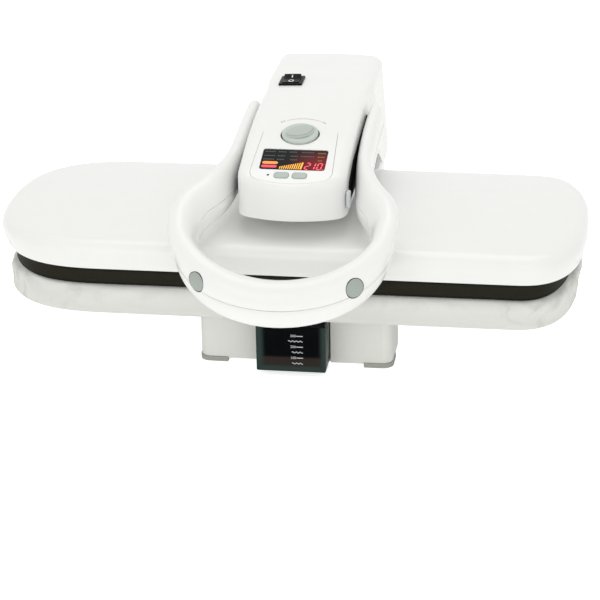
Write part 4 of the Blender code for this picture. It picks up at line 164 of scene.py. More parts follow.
DULL = dict(Specular_IOR_Level=0.12)  # dark plastics that mirror less of the white room
METAL = dict(Metallic=1.0)
finishes = {
    # ABS from a polished mould: an even bright white with wide soft highlights
    "white_gloss": material("white_abs_gloss", "eeeeed", "f1f1f0", 0.22, 0.04, 0.03),
    # ABS from a finely etched mould: duller than the top mouldings and a little yellower
    "base_white": material("off_white_abs", "e7e7e2", "ecece7", 0.34, 0.05, 0.006),
    # ABS dyed grey-green right through: satin, the same tone at every edge
    "silver_grey": material("grey_green_abs", "adb6b1", "b5bdb9", 0.34, 0.05, 0.005),
    # Pressed rubber: matt, with a dusty bloom and no clear highlight
    "grey_rubber": material("grey_rubber", "a2a39b", "adaea6", 0.65, 0.08, 0.003, 0.0001),
    # Moulded phenolic resin with mineral filler: a flat brownish black
    "heat_dark": material("phenolic_band", "17170f", "201f16", 0.6, 0.06, 0.004, **DULL),
    # Black ABS from a polished mould: deep black, lit only along its edges
    "black_gloss": material("black_abs_gloss", "070708", "0e0e0f", 0.3, 0.04, 0.01, Specular_IOR_Level=0.08),
    # Woven cotton: matt and warm white, its threads drawn 1.2 mm coarse to show as a faint fleck
    "board_cloth": material("cotton_cover", "dadad6", "e3e3e0", 0.9, 0.05, 0.0012, 0.0001),
    # Cut polyether foam: pale yellow, with open cells that kill all gloss
    "foam": material("polyether_foam", "d8cfae", "e6dcbb", 0.95, 0.03, 0.001, 0.0003),
    # Zinc-plated steel sheet: a cool grey, slightly blurred mirror
    "steel": material("plated_steel", "b9bcc0", "cdd0d3", 0.3, 0.1, 0.004, **METAL),
    # Die-cast aluminium: lighter than the steel, with the cloudy skin of a casting
    "aluminium": material("cast_aluminium", "c4c6c8", "d6d8da", 0.32, 0.1, 0.003, **METAL),
    # Sintered bronze bushes: dull gold, speckled with pores
    "brass": material("sintered_bronze", "a98547", "c19b58", 0.4, 0.1, 0.001, **METAL),
    # Smoked SAN: so dark that it reads as black, with a sharp highlight
    "smoked_clear": material("smoked_san", "07090a", "0c0f10", 0.2, 0.04, 0.01, **DULL),
    # Glass-fibre laminate under green solder lacquer
    "circuit_green": material("circuit_laminate", "1d5b35", "256b40", 0.4, 0.1, 0.002),
    # Extruded silicone tube: brick red, with a waxy sheen
    "silicone": material("red_silicone", "9d4a33", "ac563d", 0.55, 0.05, 0.002),
    # Undyed polyamide: milky cream, satin
    "natural_plastic": material("natural_polyamide", "dad8cd", "e5e3d8", 0.45, 0.06, 0.004),
}
slots = {row["node"]: row["material_slot"] for row in frame["record"]["subparts"]}
for name, node in nodes.items():
    node.data.materials.clear()
    node.data.materials.append(finishes[slots[name]])

# --------------------------------------------------------------------------------------------
# Plate cover
# A thin white ABS moulding, screwed to the heated plate from below. Its top is gently domed,
# its side leans in towards the lip at both ends, and the arm reaches in through a hatch.
# --------------------------------------------------------------------------------------------

# Places are given from the middle of the arm; the frame's own middle is that of the whole press
MIDDLE = Vector((0.0135, -0.00175, 0))
WALL = 0.0025
PLATE = dict(reach=(0.3605, 0.3335), taper=(0.144, 0.079), power=(2.42, 2.65), depth=0.1425)
RIM, DOME, EDGE = 0.1610, 0.011, 0.014  # height of the dome's foot, its rise, radius of its edge
RIDGE = (-0.23, 0.20)  # ends of the line on which the rings of points close


def share(value, start, end):
    """0 before start, 1 after end, an even S between"""
    part = min(max((value - start) / (end - start), 0), 1)
    return part * part * (3 - 2 * part)


def egg(reach, taper, power, depth, turn=26, side=22):
    """Outline of the plate or board seen from above, from its right tip round by the back"""
    quarter = []
    for end, sign in ((1, 1), (0, -1)):
        line = []
        for k in range(turn + 1):
            angle = math.pi / 2 * k / turn
            out, rise = abs(math.cos(angle)) ** (2 / power[end]), math.sin(angle) ** (2 / power[end])
            line.append(Vector((sign * (reach[end] - taper[end] + taper[end] * out), depth * rise)))
        quarter.append(line)
    right, left = quarter
    straight = [right[-1].lerp(left[-1], k / side) for k in range(1, side)]
    back = right + straight + left[::-1]
    front = [Vector((p.x, -p.y)) for p in back[-2:0:-1]]
    return back + front


def formed(name, columns, rows, put):
    """A grid of faces whose crossing (i, j) is moved to put(i, j); points that meet are merged"""
    bpy.ops.object.select_all(action="DESELECT")
    bpy.ops.mesh.primitive_grid_add(x_subdivisions=columns, y_subdivisions=rows, size=2)
    piece = bpy.context.object
    piece.name = piece.data.name = name
    for point in piece.data.vertices:
        i, j = round((point.co.x + 1) / 2 * columns), round((point.co.y + 1) / 2 * rows)
        point.co = Vector(put(i, j)) + MIDDLE
    bpy.ops.object.mode_set(mode="EDIT")
    bpy.ops.mesh.select_all(action="SELECT")
    bpy.ops.mesh.remove_doubles(threshold=2e-6)
    bpy.ops.mesh.normals_make_consistent(inside=False)
    bpy.ops.object.mode_set(mode="OBJECT")
    return piece


def change(piece, kind, **values):
    """Adds a modifier with these values and applies it"""
    bpy.ops.object.select_all(action="DESELECT")
    piece.select_set(True)
    bpy.context.view_layer.objects.active = piece
    modifier = piece.modifiers.new(kind.lower(), kind)
    for name, value in values.items():
        setattr(modifier, name, value)
    bpy.ops.object.modifier_apply(modifier=modifier.name)
    return piece


def cut(piece, *tools, operation="DIFFERENCE"):
    """Cuts the tools out of a piece, or adds them to it with UNION, and removes them"""
    for tool in tools:
        change(piece, "BOOLEAN", object=tool, operation=operation, solver="EXACT")
        bpy.data.objects.remove(tool, do_unlink=True)
    return piece


def box(low, high):
    """A cube between two corners"""
    bpy.ops.object.select_all(action="DESELECT")
    low, high = Vector(low), Vector(high)
    bpy.ops.mesh.primitive_cube_add(size=1, location=(low + high) / 2 + MIDDLE, scale=high - low)
    bpy.ops.object.transform_apply(location=True, rotation=True, scale=True)
    return bpy.context.object


def finish(piece, body, surface, *replaced, slot=None, angle=35):
    """Shades a piece, gives it its material, and lets it ride on its body"""
    bpy.ops.object.select_all(action="DESELECT")
    piece.select_set(True)
    bpy.context.view_layer.objects.active = piece
    bpy.ops.object.shade_smooth_by_angle(angle=math.radians(angle))
    piece.data.materials.clear()
    piece.data.materials.append(surface)
    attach(piece, body)
    if replaced:
        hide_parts(*replaced)
    return piece


def inward(ring, k):
    """Direction into the outline at its k-th point"""
    run = ring[(k + 1) % len(ring)] - ring[k - 1]
    return Vector((-run.y, run.x)).normalized()


def drawn_in(x, left, right):
    """A place along the plate, moved inward near its two ends"""
    near_left, near_right = (share(far, end - 0.105, end) for far, end in zip((-x, x), PLATE["reach"]))
    return x + left * near_left - right * near_right


def crown(x, y):
    """Height of the plate's domed top"""
    reach = PLATE["reach"][0] if x < 0 else PLATE["reach"][1]
    return RIM + DOME * (1 - (y / PLATE["depth"]) ** 2) * (1 - min(abs(x) / reach, 1) ** 4)


def closed_in(place, kept):
    """A point of a ring drawn towards the ridge, where the rings close"""
    place.x += (min(max(place.x, RIDGE[0]), RIDGE[1]) - place.x) * (1 - kept)
    place.y *= kept


plate_ring = egg(**PLATE)
# Inset, height, and share of the lean at both ends, from the lip up the side
cover_rows = [(0.0047, 0.1307, 1), (0.0010, 0.1307, 1), (0.0003, 0.1310, 1), (0, 0.1318, 1),
              (0.0003, 0.1380, 0.7), (0.0006, 0.1396, 0.35), (0.0011, 0.1470, 0.08)]
edge_steps, top_steps = 8, 14


def put_cover(i, j):
    """Rings of the cover: up its side, round its edge, then over the dome to the ridge"""
    k = i % len(plate_ring)
    into = inward(plate_ring, k)
    if j < len(cover_rows):
        inset, height, pull = cover_rows[j]
        place = plate_ring[k] + into * inset
        return drawn_in(place.x, 0.0065 * pull, 0.0045 * pull), place.y, height
    j -= len(cover_rows) - 1
    angle = math.pi / 2 * min(j / edge_steps, 1)
    place = plate_ring[k] + into * (cover_rows[-1][0] + EDGE * (1 - math.cos(angle)))
    closed_in(place, 1 - max(j - edge_steps, 0) / top_steps)
    height = crown(place.x, place.y) - EDGE * (1 - math.sin(angle))
    return drawn_in(place.x, 0.0005, 0.0004) if j < edge_steps else place.x, place.y, height


plate_cover = formed("plate_cover_shell", len(plate_ring), len(cover_rows) - 1 + edge_steps + top_steps,
                     put_cover)
change(plate_cover, "SOLIDIFY", thickness=WALL, offset=-1)
cut(plate_cover, box((-0.0525, -0.034, 0.12), (0.0525, 0.070, 0.30)))
finish(plate_cover, "plate", finishes["white_gloss"], "plate_cover", slot="white_gloss")

# --------------------------------------------------------------------------------------------
# Heat skirt
# A band moulded in phenolic resin, which stands the heat, round the hot sole. It is clamped
# under the cover's lip, and shows as a dark line between the cover and the board.
# --------------------------------------------------------------------------------------------

# Inset and height round the band's section
skirt_rows = [(0.0080, 0.1310), (0.0080, 0.1107), (0.0077, 0.1104), (0.0056, 0.1104), (0.0050, 0.1110),
              (0.0050, 0.1170), (0.0052, 0.1176), (0.0052, 0.1310)]


def put_skirt(i, j):
    """Rings of the band: down its inner side, under its foot and up its outer side"""
    k = i % len(plate_ring)
    inset, height = skirt_rows[j % len(skirt_rows)]
    place = plate_ring[k] + inward(plate_ring, k) * inset
    return drawn_in(place.x, 0.012, 0.0135), place.y, height


def paint_in_colour(made, mask, text):
    """Mixes one more colour into a material where a mask says: a tone of its own, or painted light or shade
    """
    tree = made.node_tree
    base = tree.nodes["Principled BSDF"].inputs["Base Color"]
    tree.links.new(add(tree, "MixRGB", mask, base.links[0].from_socket, colour(text)).outputs[0], base)


skirt = formed("heat_skirt_band", len(plate_ring), len(skirt_rows), put_skirt)
# The filled phenolic looks flat and brownish black. Painted shade darkens it along both edges,
# under the cover's lip and along its foot, where the band meets the board
SMOOTH = dict(interpolation_type="SMOOTHSTEP")
made = material("phenolic_moulding", "1a1a11", "242318", 0.6, 0.06, 0.004, **DULL)
tree = made.node_tree
apart = add(tree, "SeparateXYZ", add(tree, "TexCoord").outputs["Object"]).outputs
shade_under_lip = add(tree, "MapRange", apart["Z"], From_Min=0.1245, From_Max=0.1305, **SMOOTH)
shade_at_foot = add(tree, "MapRange", apart["Z"], From_Min=0.1145, From_Max=0.1108, **SMOOTH)
edge_shade = add(tree, "Math", shade_under_lip.outputs[0], shade_at_foot.outputs[0], operation="MAXIMUM")
paint_in_colour(made, edge_shade.outputs[0], "080805")
finish(skirt, "plate", made, "heat_skirt", slot="heat_dark")

# --------------------------------------------------------------------------------------------
# Board
# A cut foam pad lies in a sheet steel pan under a cover sewn from cotton. The cover is stretched
# over it, and its hem is drawn in under the board's edge.
# --------------------------------------------------------------------------------------------

BOARD = dict(reach=(0.347, 0.322), taper=(0.136, 0.074), power=(2.7, 2.7), depth=0.141)
board_ring = egg(**BOARD)


def round_off(inset, low, high, lower, upper, steps=5):
    """Rows (inset, height) of a wall with a rounded lower and upper edge"""
    rows = []
    for k in range(steps + 1):
        angle = math.pi / 2 * k / steps
        rows.append((inset + lower * (1 - math.sin(angle)), low + lower * (1 - math.cos(angle))))
    for k in range(steps + 1):
        angle = math.pi / 2 * k / steps
        rows.append((inset + upper * (1 - math.cos(angle)), high - upper * (1 - math.sin(angle))))
    return rows


def put_board(rows, spread):
    """Rings of the pad or its cover: along the rows of its wall, then flat to the ridge"""
    def put(i, j):
        k = i % len(board_ring)
        inset, height = rows[min(j, len(rows) - 1)]
        place = board_ring[k] + inward(board_ring, k) * inset
        closed_in(place, 1 - max(j - len(rows) + 1, 0) / spread)
        return place.x, place.y, height
    return put


foam_rows = [(0.0146, 0.0770)] + round_off(0.0020, 0.0790, 0.1080, 0.006, 0.011)
foam = formed("board_pad", len(board_ring), len(foam_rows) - 1 + 8, put_board(foam_rows, 8))
# Cut foam is pale yellow, and its open cells leave it quite matt; the cover hides it
finish(foam, "base", finishes["foam"], "board_foam", slot="foam")

# The cotton's wall has five more rows between its rounded edges, for its slack to show in
HEM, CLOTH_TOP = 0.0741, 0.1099
wall_rows = round_off(0, HEM, CLOTH_TOP, 0.006, 0.012)
wall_rows[6:6] = [(0, 0.0801 + 0.0178 * k / 6) for k in range(1, 6)]
cloth_rows = [(0.030, HEM), (0.018, HEM)] + wall_rows
cloth = formed("board_cloth_cover", len(board_ring), len(cloth_rows) - 1 + 10, put_board(cloth_rows, 10))
change(cloth, "SUBSURF", subdivision_type="SIMPLE", levels=1, render_levels=1)
# Soft hollows and sharper folds on the wall, stronger at both ends, none on the top or the hem
for point in cloth.data.vertices:
    x, y, z = point.co - MIDDLE
    on_side = share(z, 0.0755, 0.082) * (1 - share(z, 0.1035, 0.1090))
    slack = 0.30 + 0.70 * share(abs(x + 0.01), 0.13, 0.29)
    soft = noise.noise(Vector((x * 22, y * 22, z * 55 + 3)))
    fold = 1 - 2.2 * abs(noise.noise(Vector((x * 30 + z * 25, y * 30 - z * 25, z * 12 + 7)))) ** 0.8
    fold *= 0.4 + 0.6 * share(z, 0.082, 0.100)
    point.co += point.normal * on_side * slack * (0.0036 * soft + 0.0022 * fold)
# Woven cotton pulled tight looks matt and warm white, with a faint nap against the light. Painted
# shade greys it a little in soft crumples of about 30 mm round its wall, mostly at both ends, and at its hem
made = material("stretched_cotton", "dadad6", "e3e3e0", 0.9, 0.05, 0.0012, 0.0001, Sheen_Weight=0.1)
tree = made.node_tree
where = add(tree, "TexCoord").outputs["Object"]
apart = add(tree, "SeparateXYZ", where).outputs
crumple = add(tree, "TexNoise", Vector=where, Scale=34, Detail=3, Distortion=1.2)
blotch = add(tree, "MapRange", crumple.outputs[0], From_Min=0.44, From_Max=0.66, **SMOOTH)
near_left = add(tree, "MapRange", apart["X"], From_Min=-0.20, From_Max=-0.33, To_Min=0.25)
near_right = add(tree, "MapRange", apart["X"], From_Min=0.22, From_Max=0.34, To_Min=0.25)
ends = add(tree, "Math", near_left.outputs[0], near_right.outputs[0], operation="MAXIMUM")
on_wall = add(tree, "MapRange", apart["Z"], From_Min=0.1095, From_Max=0.1030)
slack_parts = add(tree, "Math", ends.outputs[0], on_wall.outputs[0], operation="MULTIPLY")
crumple_shade = add(tree, "Math", blotch.outputs[0], slack_parts.outputs[0], operation="MULTIPLY")
hem = add(tree, "MapRange", apart["Z"], From_Min=0.098, From_Max=0.076, To_Max=0.35)
painted_cloth_shade = add(tree, "Math", crumple_shade.outputs[0], hem.outputs[0], operation="MAXIMUM")
paint_in_colour(made, painted_cloth_shade.outputs[0], "cacbc4")
finish(cloth, "base", made, "board_cover", slot="board_cloth")

# --------------------------------------------------------------------------------------------
# Arm cover
# One white ABS moulding over the steel arm: a sloping head for the panel, a crest behind it and
# a round tail at the hinge, where it is wider.
# --------------------------------------------------------------------------------------------

ARM_HALF, ARM_FRONT, ARM_BACK = 0.0625, -0.122, 0.250
PANEL_SLOPE, BEND, BEND_HEIGHT = math.tan(math.radians(15.2)), -0.050, 0.2544
RISE_BEHIND, RISE_LENGTH = 0.0197, 0.2  # from the bend up to the crest
UNDERSIDE, TAIL, TAIL_Y = 0.1895, 0.038, 0.212  # lower edge, radius of the tail and its middle
FLARE = (0.113, 0.150)  # where the arm grows wider
ARM_EDGE = 0.011  # radius of its upper edge
ARM_STEPS = (8, 7, 12)  # rings up its wall, round its edge and over its top


def arm_crest(y):
    """Height of the arm's top on the centre line"""
    if y <= BEND:
        return BEND_HEIGHT + (y - BEND) * PANEL_SLOPE - 0.0065 * (max(-0.096 - y, 0) / 0.026) ** 2
    power = PANEL_SLOPE * RISE_LENGTH / RISE_BEHIND
    return BEND_HEIGHT + RISE_BEHIND - RISE_BEHIND * (1 - min((y - BEND) / RISE_LENGTH, 1)) ** power


def arm_top(x, y):
    """Height of the arm's top, which falls a little to both sides behind the panel"""
    return arm_crest(y) - 0.0022 * share(y, BEND, 0.150) * (x / ARM_HALF) ** 2


def arm_hem(y):
    """Height of the arm's lower edge: level, then dropping to the round tail"""
    if y <= TAIL_Y:
        return UNDERSIDE - TAIL * share(y, 0.116, 0.190)
    return UNDERSIDE - math.sqrt(max(TAIL ** 2 - (y - TAIL_Y) ** 2, 0))


def bent(start, corner, end, steps):
    """Points between a start and an end, on a curve that a corner draws out"""
    parts = [k / steps for k in range(1, steps)]
    return [(1 - part) ** 2 * start + 2 * part * (1 - part) * corner + part ** 2 * end for part in parts]


# The arm's outline seen from above: its bowed front, a round corner, its side and the tail's back
right_side = [Vector((x, ARM_FRONT + 0.016 * (x / ARM_HALF) ** 2)) for x in (0.0045 * k for k in range(11))]
right_side += bent(right_side[-1], Vector((ARM_HALF, -0.1079)), Vector((ARM_HALF, -0.088)), 12)
for k in range(33):
    y = -0.088 + (0.233 + 0.088) * k / 32
    right_side.append(Vector((ARM_HALF + 0.009 * share(y, *FLARE), y)))
for k in range(1, 9):
    angle = math.pi / 2 * k / 8
    right_side.append(Vector((0.0545 + 0.017 * math.cos(angle), 0.233 + 0.017 * math.sin(angle))))
right_side += [Vector((0.0545 * (1 - k / 8), ARM_BACK)) for k in range(1, 9)]
arm_ring = right_side + [Vector((-p.x, p.y)) for p in right_side[-2:0:-1]]


def put_arm(i, j):
    """Rings of the cover: up its wall, round its edge, then over its top to the centre line"""
    k = i % len(arm_ring)
    place = arm_ring[k].copy()
    lean = 0.09 * share(place.y, *FLARE)
    wall, edge, top = ARM_STEPS
    if j <= wall:
        part = j / wall
        place.x *= 1 - lean * part
        low = arm_hem(place.y)
        return place.x, place.y, low + (arm_top(place.x, place.y) - ARM_EDGE - low) * part
    angle = math.pi / 2 * min((j - wall) / edge, 1)
    depth = ARM_EDGE * (1 - math.cos(angle)) * (0.3 + 0.7 * share(place.y, ARM_FRONT, -0.096))
    place += inward(arm_ring, k) * depth
    kept = 1 - max(j - wall - edge, 0) / top
    place.x *= (1 - lean) * kept
    place.y -= 0.006 * (1 - kept) * share(place.y, 0.200, 0.239)
    return place.x, place.y, arm_top(place.x, place.y) - ARM_EDGE * (1 - math.sin(angle))


arm_cover = formed("arm_cover_shell", len(arm_ring), sum(ARM_STEPS), put_arm)
change(arm_cover, "SOLIDIFY", thickness=WALL, offset=-1)
# The notch for the hinge bracket, and the hole for the switch's wires
cut(arm_cover, box((-0.031, 0.212, 0.10), (0.031, 0.27, 0.2085)),
    box((-0.0452, 0.1113, 0.25), (-0.0198, 0.1407, 0.30)))

# --------------------------------------------------------------------------------------------
# Control panel
# A thin white ABS plate let into the arm's head, with a fine shadow gap all round. The window,
# the knob and the keys are fitted into it from below, and it snaps in as one piece.
# --------------------------------------------------------------------------------------------

# The right half of its outline: the bowed front edge, a round corner, the side, the round back
panel_line = [Vector((x, -0.1160 + 0.0070 * (x / 0.0475) ** 2)) for x in (0.0375 * k / 12 for k in range(13))]
end = Vector((0.0466, -0.0975))
panel_line += bent(panel_line[-1], Vector((0.0474, -0.1090)), end, 9)
for k in range(13):
    panel_line.append(end.lerp(Vector((0.043, -0.020)), k / 12))
for k in range(1, 15):
    angle = math.pi / 2 * k / 14
    panel_line.append(Vector((0.043 * math.cos(angle), -0.020 + 0.038 * math.sin(angle))))
panel_ring = panel_line + [Vector((-p.x, p.y)) for p in panel_line[-2:0:-1]]


def put_panel(rows, spread):
    """Rings of the plate: over its edge by rows of inset and height, then to the centre line"""
    def put(i, j):
        k = i % len(panel_ring)
        inset, raised = rows[min(j, len(rows) - 1)]
        place = panel_ring[k] + inward(panel_ring, k) * inset
        place.x *= 1 - max(j - len(rows) + 1, 0) / spread
        raised -= 0.0002 * share(place.y, -0.030, 0) if raised > 0 else 0
        return place.x, place.y, arm_top(place.x, place.y) + raised
    return put


panel_rows = [(0, -0.0030), (0, 0.0001), (0.0002, 0.0003)]
panel_solid = formed("control_panel_plate", len(panel_ring), len(panel_rows) - 1 + 12,
                     put_panel(panel_rows, 12))
change(panel_solid, "SOLIDIFY", thickness=0.0018, offset=-1)


def put_opening(i, j):
    """A block with the panel's outline and the shadow gap, to cut the arm's cover with"""
    k = i % len(panel_ring)
    place = panel_ring[k] - inward(panel_ring, k) * (0.0004 - 0.0014 * share(panel_ring[k].y, -0.030, 0))
    if j in (0, 3):
        place = Vector((0, -0.05))
    return place.x, place.y, 0.20 if j < 2 else 0.30


cut(arm_cover, formed("cutter", len(panel_ring), 3, put_opening))

# --------------------------------------------------------------------------------------------
# Ring handle
# Two white ABS shells screwed together from below round a cast frame; the seam runs round the
# outside and inside just below the middle, and passes behind the two steam buttons.
# --------------------------------------------------------------------------------------------

GRIP = Vector((0, -0.165, 0.1355))  # middle of the ring's front arc, at the height of the grip
RING_HALF, RING_DEEP, RING_RISE = 0.112, 0.067, 0.054
CHEEK = 0.0735  # from the middle to the line of a cheek beside the arm
LEAN = math.radians(20)
SQUARE = 2.4  # power of the section's outline: 2 is an ellipse, more is squarer
# How far out the side still is at shares of its way back, and how far it has risen there
OUT_SHARES = ((0, 1), (0.07, 0.984), (0.155, 0.826), (0.28, 0.447), (0.42, 0.205), (0.58, 0.062),
              (0.76, 0.021), (0.88, 0.008), (1, 0))
RISE_SHARES = (0, 0.17, 0.33, 0.47, 0.58, 0.70, 0.84, 0.93, 1)


def row(x, y, z, thick, high, lean):
    """A station of the handle: its centre, half sizes of the section and lean, as one vector"""
    return Vector((x, y, z, thick, high, lean))


def front_arc(angle):
    """A point of the ring's centre line, by its angle from the front to the side"""
    return GRIP + Vector((RING_HALF * math.sin(angle), -RING_DEEP * math.cos(angle),
                          RING_RISE * (1 - math.cos(angle))))


right_half = []
for k in range(8):
    angle = math.pi / 2 * k / 8
    mix = share(k, 0, 8)
    right_half.append(row(*front_arc(angle), 0.019 - 0.005 * mix, 0.0265 - 0.001 * mix, LEAN * mix))
for (along, out), rise in zip(OUT_SHARES, RISE_SHARES):
    right_half.append(row(CHEEK + (RING_HALF - CHEEK) * out, GRIP.y + 0.210 * along,
                          GRIP.z + RING_RISE + 0.043 * rise, 0.014 - 0.0045 * share(along, 0.1, 0.6),
                          0.0255 - 0.0005 * along, LEAN * (1 - share(along, 0.1, 0.7))))
for k in range(9):
    angle = math.pi / 2 * k / 8.05
    right_half.append(row(CHEEK, 0.085 + 0.025 * math.sin(angle), 0.235,
                          0.0095 - 0.003 * (1 - math.cos(angle)), 0.025 * math.cos(angle), 0))
left_half = [row(-r[0], *r[1:]) for r in right_half[:0:-1]]
whole = left_half + right_half
# Four points more between each two stations, on a smooth curve through all of them
handle_line = []
for k in range(len(whole) - 1):
    before, start, end = whole[max(k - 1, 0)], whole[k], whole[k + 1]
    after = whole[min(k + 2, len(whole) - 1)]
    square = 2 * before - 5 * start + 4 * end - after
    cube = 3 * start - before - 3 * end + after
    for t in (step / 5 for step in range(5)):
        handle_line.append(0.5 * (2 * start + (end - before) * t + square * t ** 2 + cube * t ** 3))
handle_line.append(whole[-1])


def handle_point(i, angle, inset=0):
    """A point on the handle's skin: the angle runs from the outer side over the top"""
    here = handle_line[i]
    run = (handle_line[min(i + 1, len(handle_line) - 1)] - handle_line[max(i - 1, 0)]).xyz.normalized()
    out = Vector((run.y, -run.x, 0)).normalized()
    up = out.cross(run).normalized()
    c, s = math.cos(here[5]), math.sin(here[5])
    out, up = out * c - up * s, up * c + out * s
    c, s = (math.copysign(abs(part) ** (2 / SQUARE), part) for part in (math.cos(angle), math.sin(angle)))
    thick, high = max(here[3] - inset, 0.0005), max(here[4] - inset, 0.0004)
    return here.xyz + out * c * thick + up * s * high


def put_shell(first, last, steps):
    """A shell between two seam angles: along its skin one way, along its inner side the other"""
    def put(i, j):
        margin = 0.00018 / max(handle_line[i][4], 0.004)  # half the seam, and the round of its edge
        low, high = first + margin, last - margin
        turn = j % (2 * steps + 4)
        outer = turn <= steps + 1
        turn = turn if outer else 2 * steps + 3 - turn
        angle = low + margin + (high - low - 2 * margin) * (turn - 1) / (steps - 1)
        angle = low if turn == 0 else high if turn == steps + 1 else angle
        edge = 0.0003 if turn in (0, steps + 1) else 0
        at_end = i in (0, len(handle_line) - 1)
        return handle_point(i, angle, edge if outer or at_end else 0.0022)
    return put


def oval(place, wide, high, deep):
    """An oval rod across a place, to cut a hole with"""
    bpy.ops.object.select_all(action="DESELECT")
    bpy.ops.mesh.primitive_cylinder_add(radius=0.5, depth=1, vertices=48)
    piece = bpy.context.object
    piece.data.transform(Matrix.Translation(MIDDLE) @ place @ Matrix.Diagonal((wide, high, deep, 1)))
    return piece


BUTTON_RAISE = 0.0042  # of a button's middle over the ring's centre line
BUTTON_HOLE = (0.0218, 0.0247, 0.022)  # its width, height and depth


def button_place(side):
    """Place of a steam button on the ring, its Z axis out of the handle"""
    angle = math.radians(45)
    run = Vector((RING_HALF * math.cos(angle), RING_DEEP * math.sin(angle), 0)).normalized()
    out = Vector((run.y, -run.x, 0))
    face = front_arc(angle) + out * (0.019 - 0.005 * share(angle, 0, math.pi / 2))
    face.z += BUTTON_RAISE
    face.x *= side
    out.x *= side
    up = Vector((0, 0, 1))
    return Matrix.Translation(face) @ Matrix((up.cross(out), up, out)).transposed().to_4x4()


# The seam runs 1 degree under the middle outside, and a little under it inside
outside, inside = math.radians(1), math.asin(0.28 ** 1.2)
for name, first, last, steps, node in (
    ("handle_upper_skin", -outside, math.pi + inside, 26, "handle_upper_shell"),
    ("handle_lower_skin", math.pi + inside, 2 * math.pi - outside, 18, "handle_lower_shell"),
):
    shell = formed(name, len(handle_line) - 1, 2 * steps + 4, put_shell(first, last, steps))
    for side in (-1, 1):
        cut(shell, oval(button_place(side), *BUTTON_HOLE))
    finish(shell, "handle", finishes["white_gloss"], node, slot="white_gloss", angle=50)

# --------------------------------------------------------------------------------------------
# Steam buttons
# Oval caps moulded in grey-green ABS in the ring's outer side, slightly domed. Each is pressed
# in against a spring; a thin black ring round it is painted shade, the dark line of its gap.
# --------------------------------------------------------------------------------------------


CAP_X, CAP_Y, CAP_DEEP = 0.0101, 0.0116, -0.0050  # half sizes, and the foot of its side


def on_ring(place, x, y, proud):
    """A point over the ring's skin by its place in the plane of the button"""
    over = y + BUTTON_RAISE
    drop = 0.0165 * (1 - (1 - (abs(over) / 0.026) ** SQUARE) ** (1 / SQUARE))
    return place @ Vector((x, y, 0.173 * over - x * x / 0.238 - drop + proud))


def put_button(place):
    """Rings of a cap from its middle out over the dome, then down its side"""
    def put(i, j):
        angle = 2 * math.pi * (i % 64) / 64
        part = min(j / 12, 1)
        far = math.sin(part * math.pi / 2 * 0.97) / math.sin(math.pi / 2 * 0.97)
        proud = -0.0001 + 0.0013 * math.cos(part * math.pi / 2)
        if j > 12:
            far, proud = 1, -0.0006 if j == 13 else CAP_DEEP
        return on_ring(place, CAP_X * far * math.cos(angle), CAP_Y * far * math.sin(angle), proud)
    return put


def put_cap_gap_shade(place):
    """A thin black ring in the gap between a cap and its hole, as painted shade in that gap"""
    def put(i, j):
        angle = 2 * math.pi * (i % 64) / 64
        wall, proud = ((0.0001, -0.0004), (0.00075, -0.0004), (0.00075, CAP_DEEP), (0.0001, CAP_DEEP))[j % 4]
        return on_ring(place, (CAP_X + wall) * math.cos(angle), (CAP_Y + wall) * math.sin(angle), proud)
    return put


# ABS dyed grey-green: satin, a shade darker than the panel's keys
cap_finish = material("grey_green_abs_caps", "9ca59e", "a4ada6", 0.36, 0.05, 0.005)
# Painted shade: matt black, so that it reads as a fine dark line round the cap, as the shade in its gap
cap_gap_shade_finish = material("black_cap_gap_shade", "101110", "1a1b1a", 0.7, 0.05, 0.002, Specular_IOR_Level=0.2)
for side, label in ((-1, "left"), (1, "right")):
    place = button_place(side)
    button = formed("steam_button_cap_" + label, 64, 14, put_button(place))
    finish(button, "steam_button_" + label, cap_finish, "steam_button_" + label, slot="silver_grey")
    cap_gap_shade = formed("steam_button_gap_shade_" + label, 64, 4, put_cap_gap_shade(place))
    finish(cap_gap_shade, "handle", cap_gap_shade_finish)

# --------------------------------------------------------------------------------------------
# Display window
# Black glass let into the panel. The marks behind it glow: dim words as plain dashes, two
# lit capsules, a row of rising bars and red seven-segment figures.
# --------------------------------------------------------------------------------------------


def panel_place(x, y):
    """A place on the arm's top, its Z axis off the surface"""
    step = 0.0005
    along = (arm_top(x, y + step) - arm_top(x, y - step)) / (2 * step)
    across = (arm_top(x + step, y) - arm_top(x - step, y)) / (2 * step)
    up, back = Vector((-across, -along, 1)).normalized(), Vector((0, 1, along)).normalized()
    turn = Matrix((back.cross(up), back, up)).transposed().to_4x4()
    return Matrix.Translation((x, y, arm_top(x, y))) @ turn


def rounded(wide, high, radius, steps=6, middle=(0, 0)):
    """Outline of a rectangle with rounded corners"""
    ring = []
    for corner, (right, up) in enumerate(((1, -1), (1, 1), (-1, 1), (-1, -1))):
        for k in range(steps + 1):
            angle = math.pi / 2 * (corner - 1 + k / steps)
            ring.append(Vector((middle[0] + right * (wide / 2 - radius) + radius * math.cos(angle),
                                middle[1] + up * (high / 2 - radius) + radius * math.sin(angle))))
    return ring


def ellipse(wide, high, sides):
    """Outline of an ellipse"""
    turns = [2 * math.pi * k / sides for k in range(sides)]
    return [Vector((wide / 2 * math.cos(turn), high / 2 * math.sin(turn))) for turn in turns]


def tablet(name, place, outline, rows):
    """A closed form round an outline, from its underside up, by rows of inset and height"""
    middle = sum(outline, Vector((0, 0))) / len(outline)
    def put(i, j):
        inset, height = rows[min(max(j - 1, 0), len(rows) - 1)]
        k = i % len(outline)
        at = middle if j in (0, len(rows) + 1) else outline[k] + inward(outline, k) * inset
        return place @ Vector((at.x, at.y, height))
    return formed(name, len(outline), len(rows) + 1, put)


def joined(name, pieces):
    """Several closed forms as one object"""
    bpy.ops.object.select_all(action="DESELECT")
    for piece in pieces:
        piece.select_set(True)
    bpy.context.view_layer.objects.active = pieces[0]
    bpy.ops.object.join()
    pieces[0].name = pieces[0].data.name = name
    return pieces[0]


WINDOW = (0.0745, 0.0405)
glass_place = panel_place(0, -0.0770)


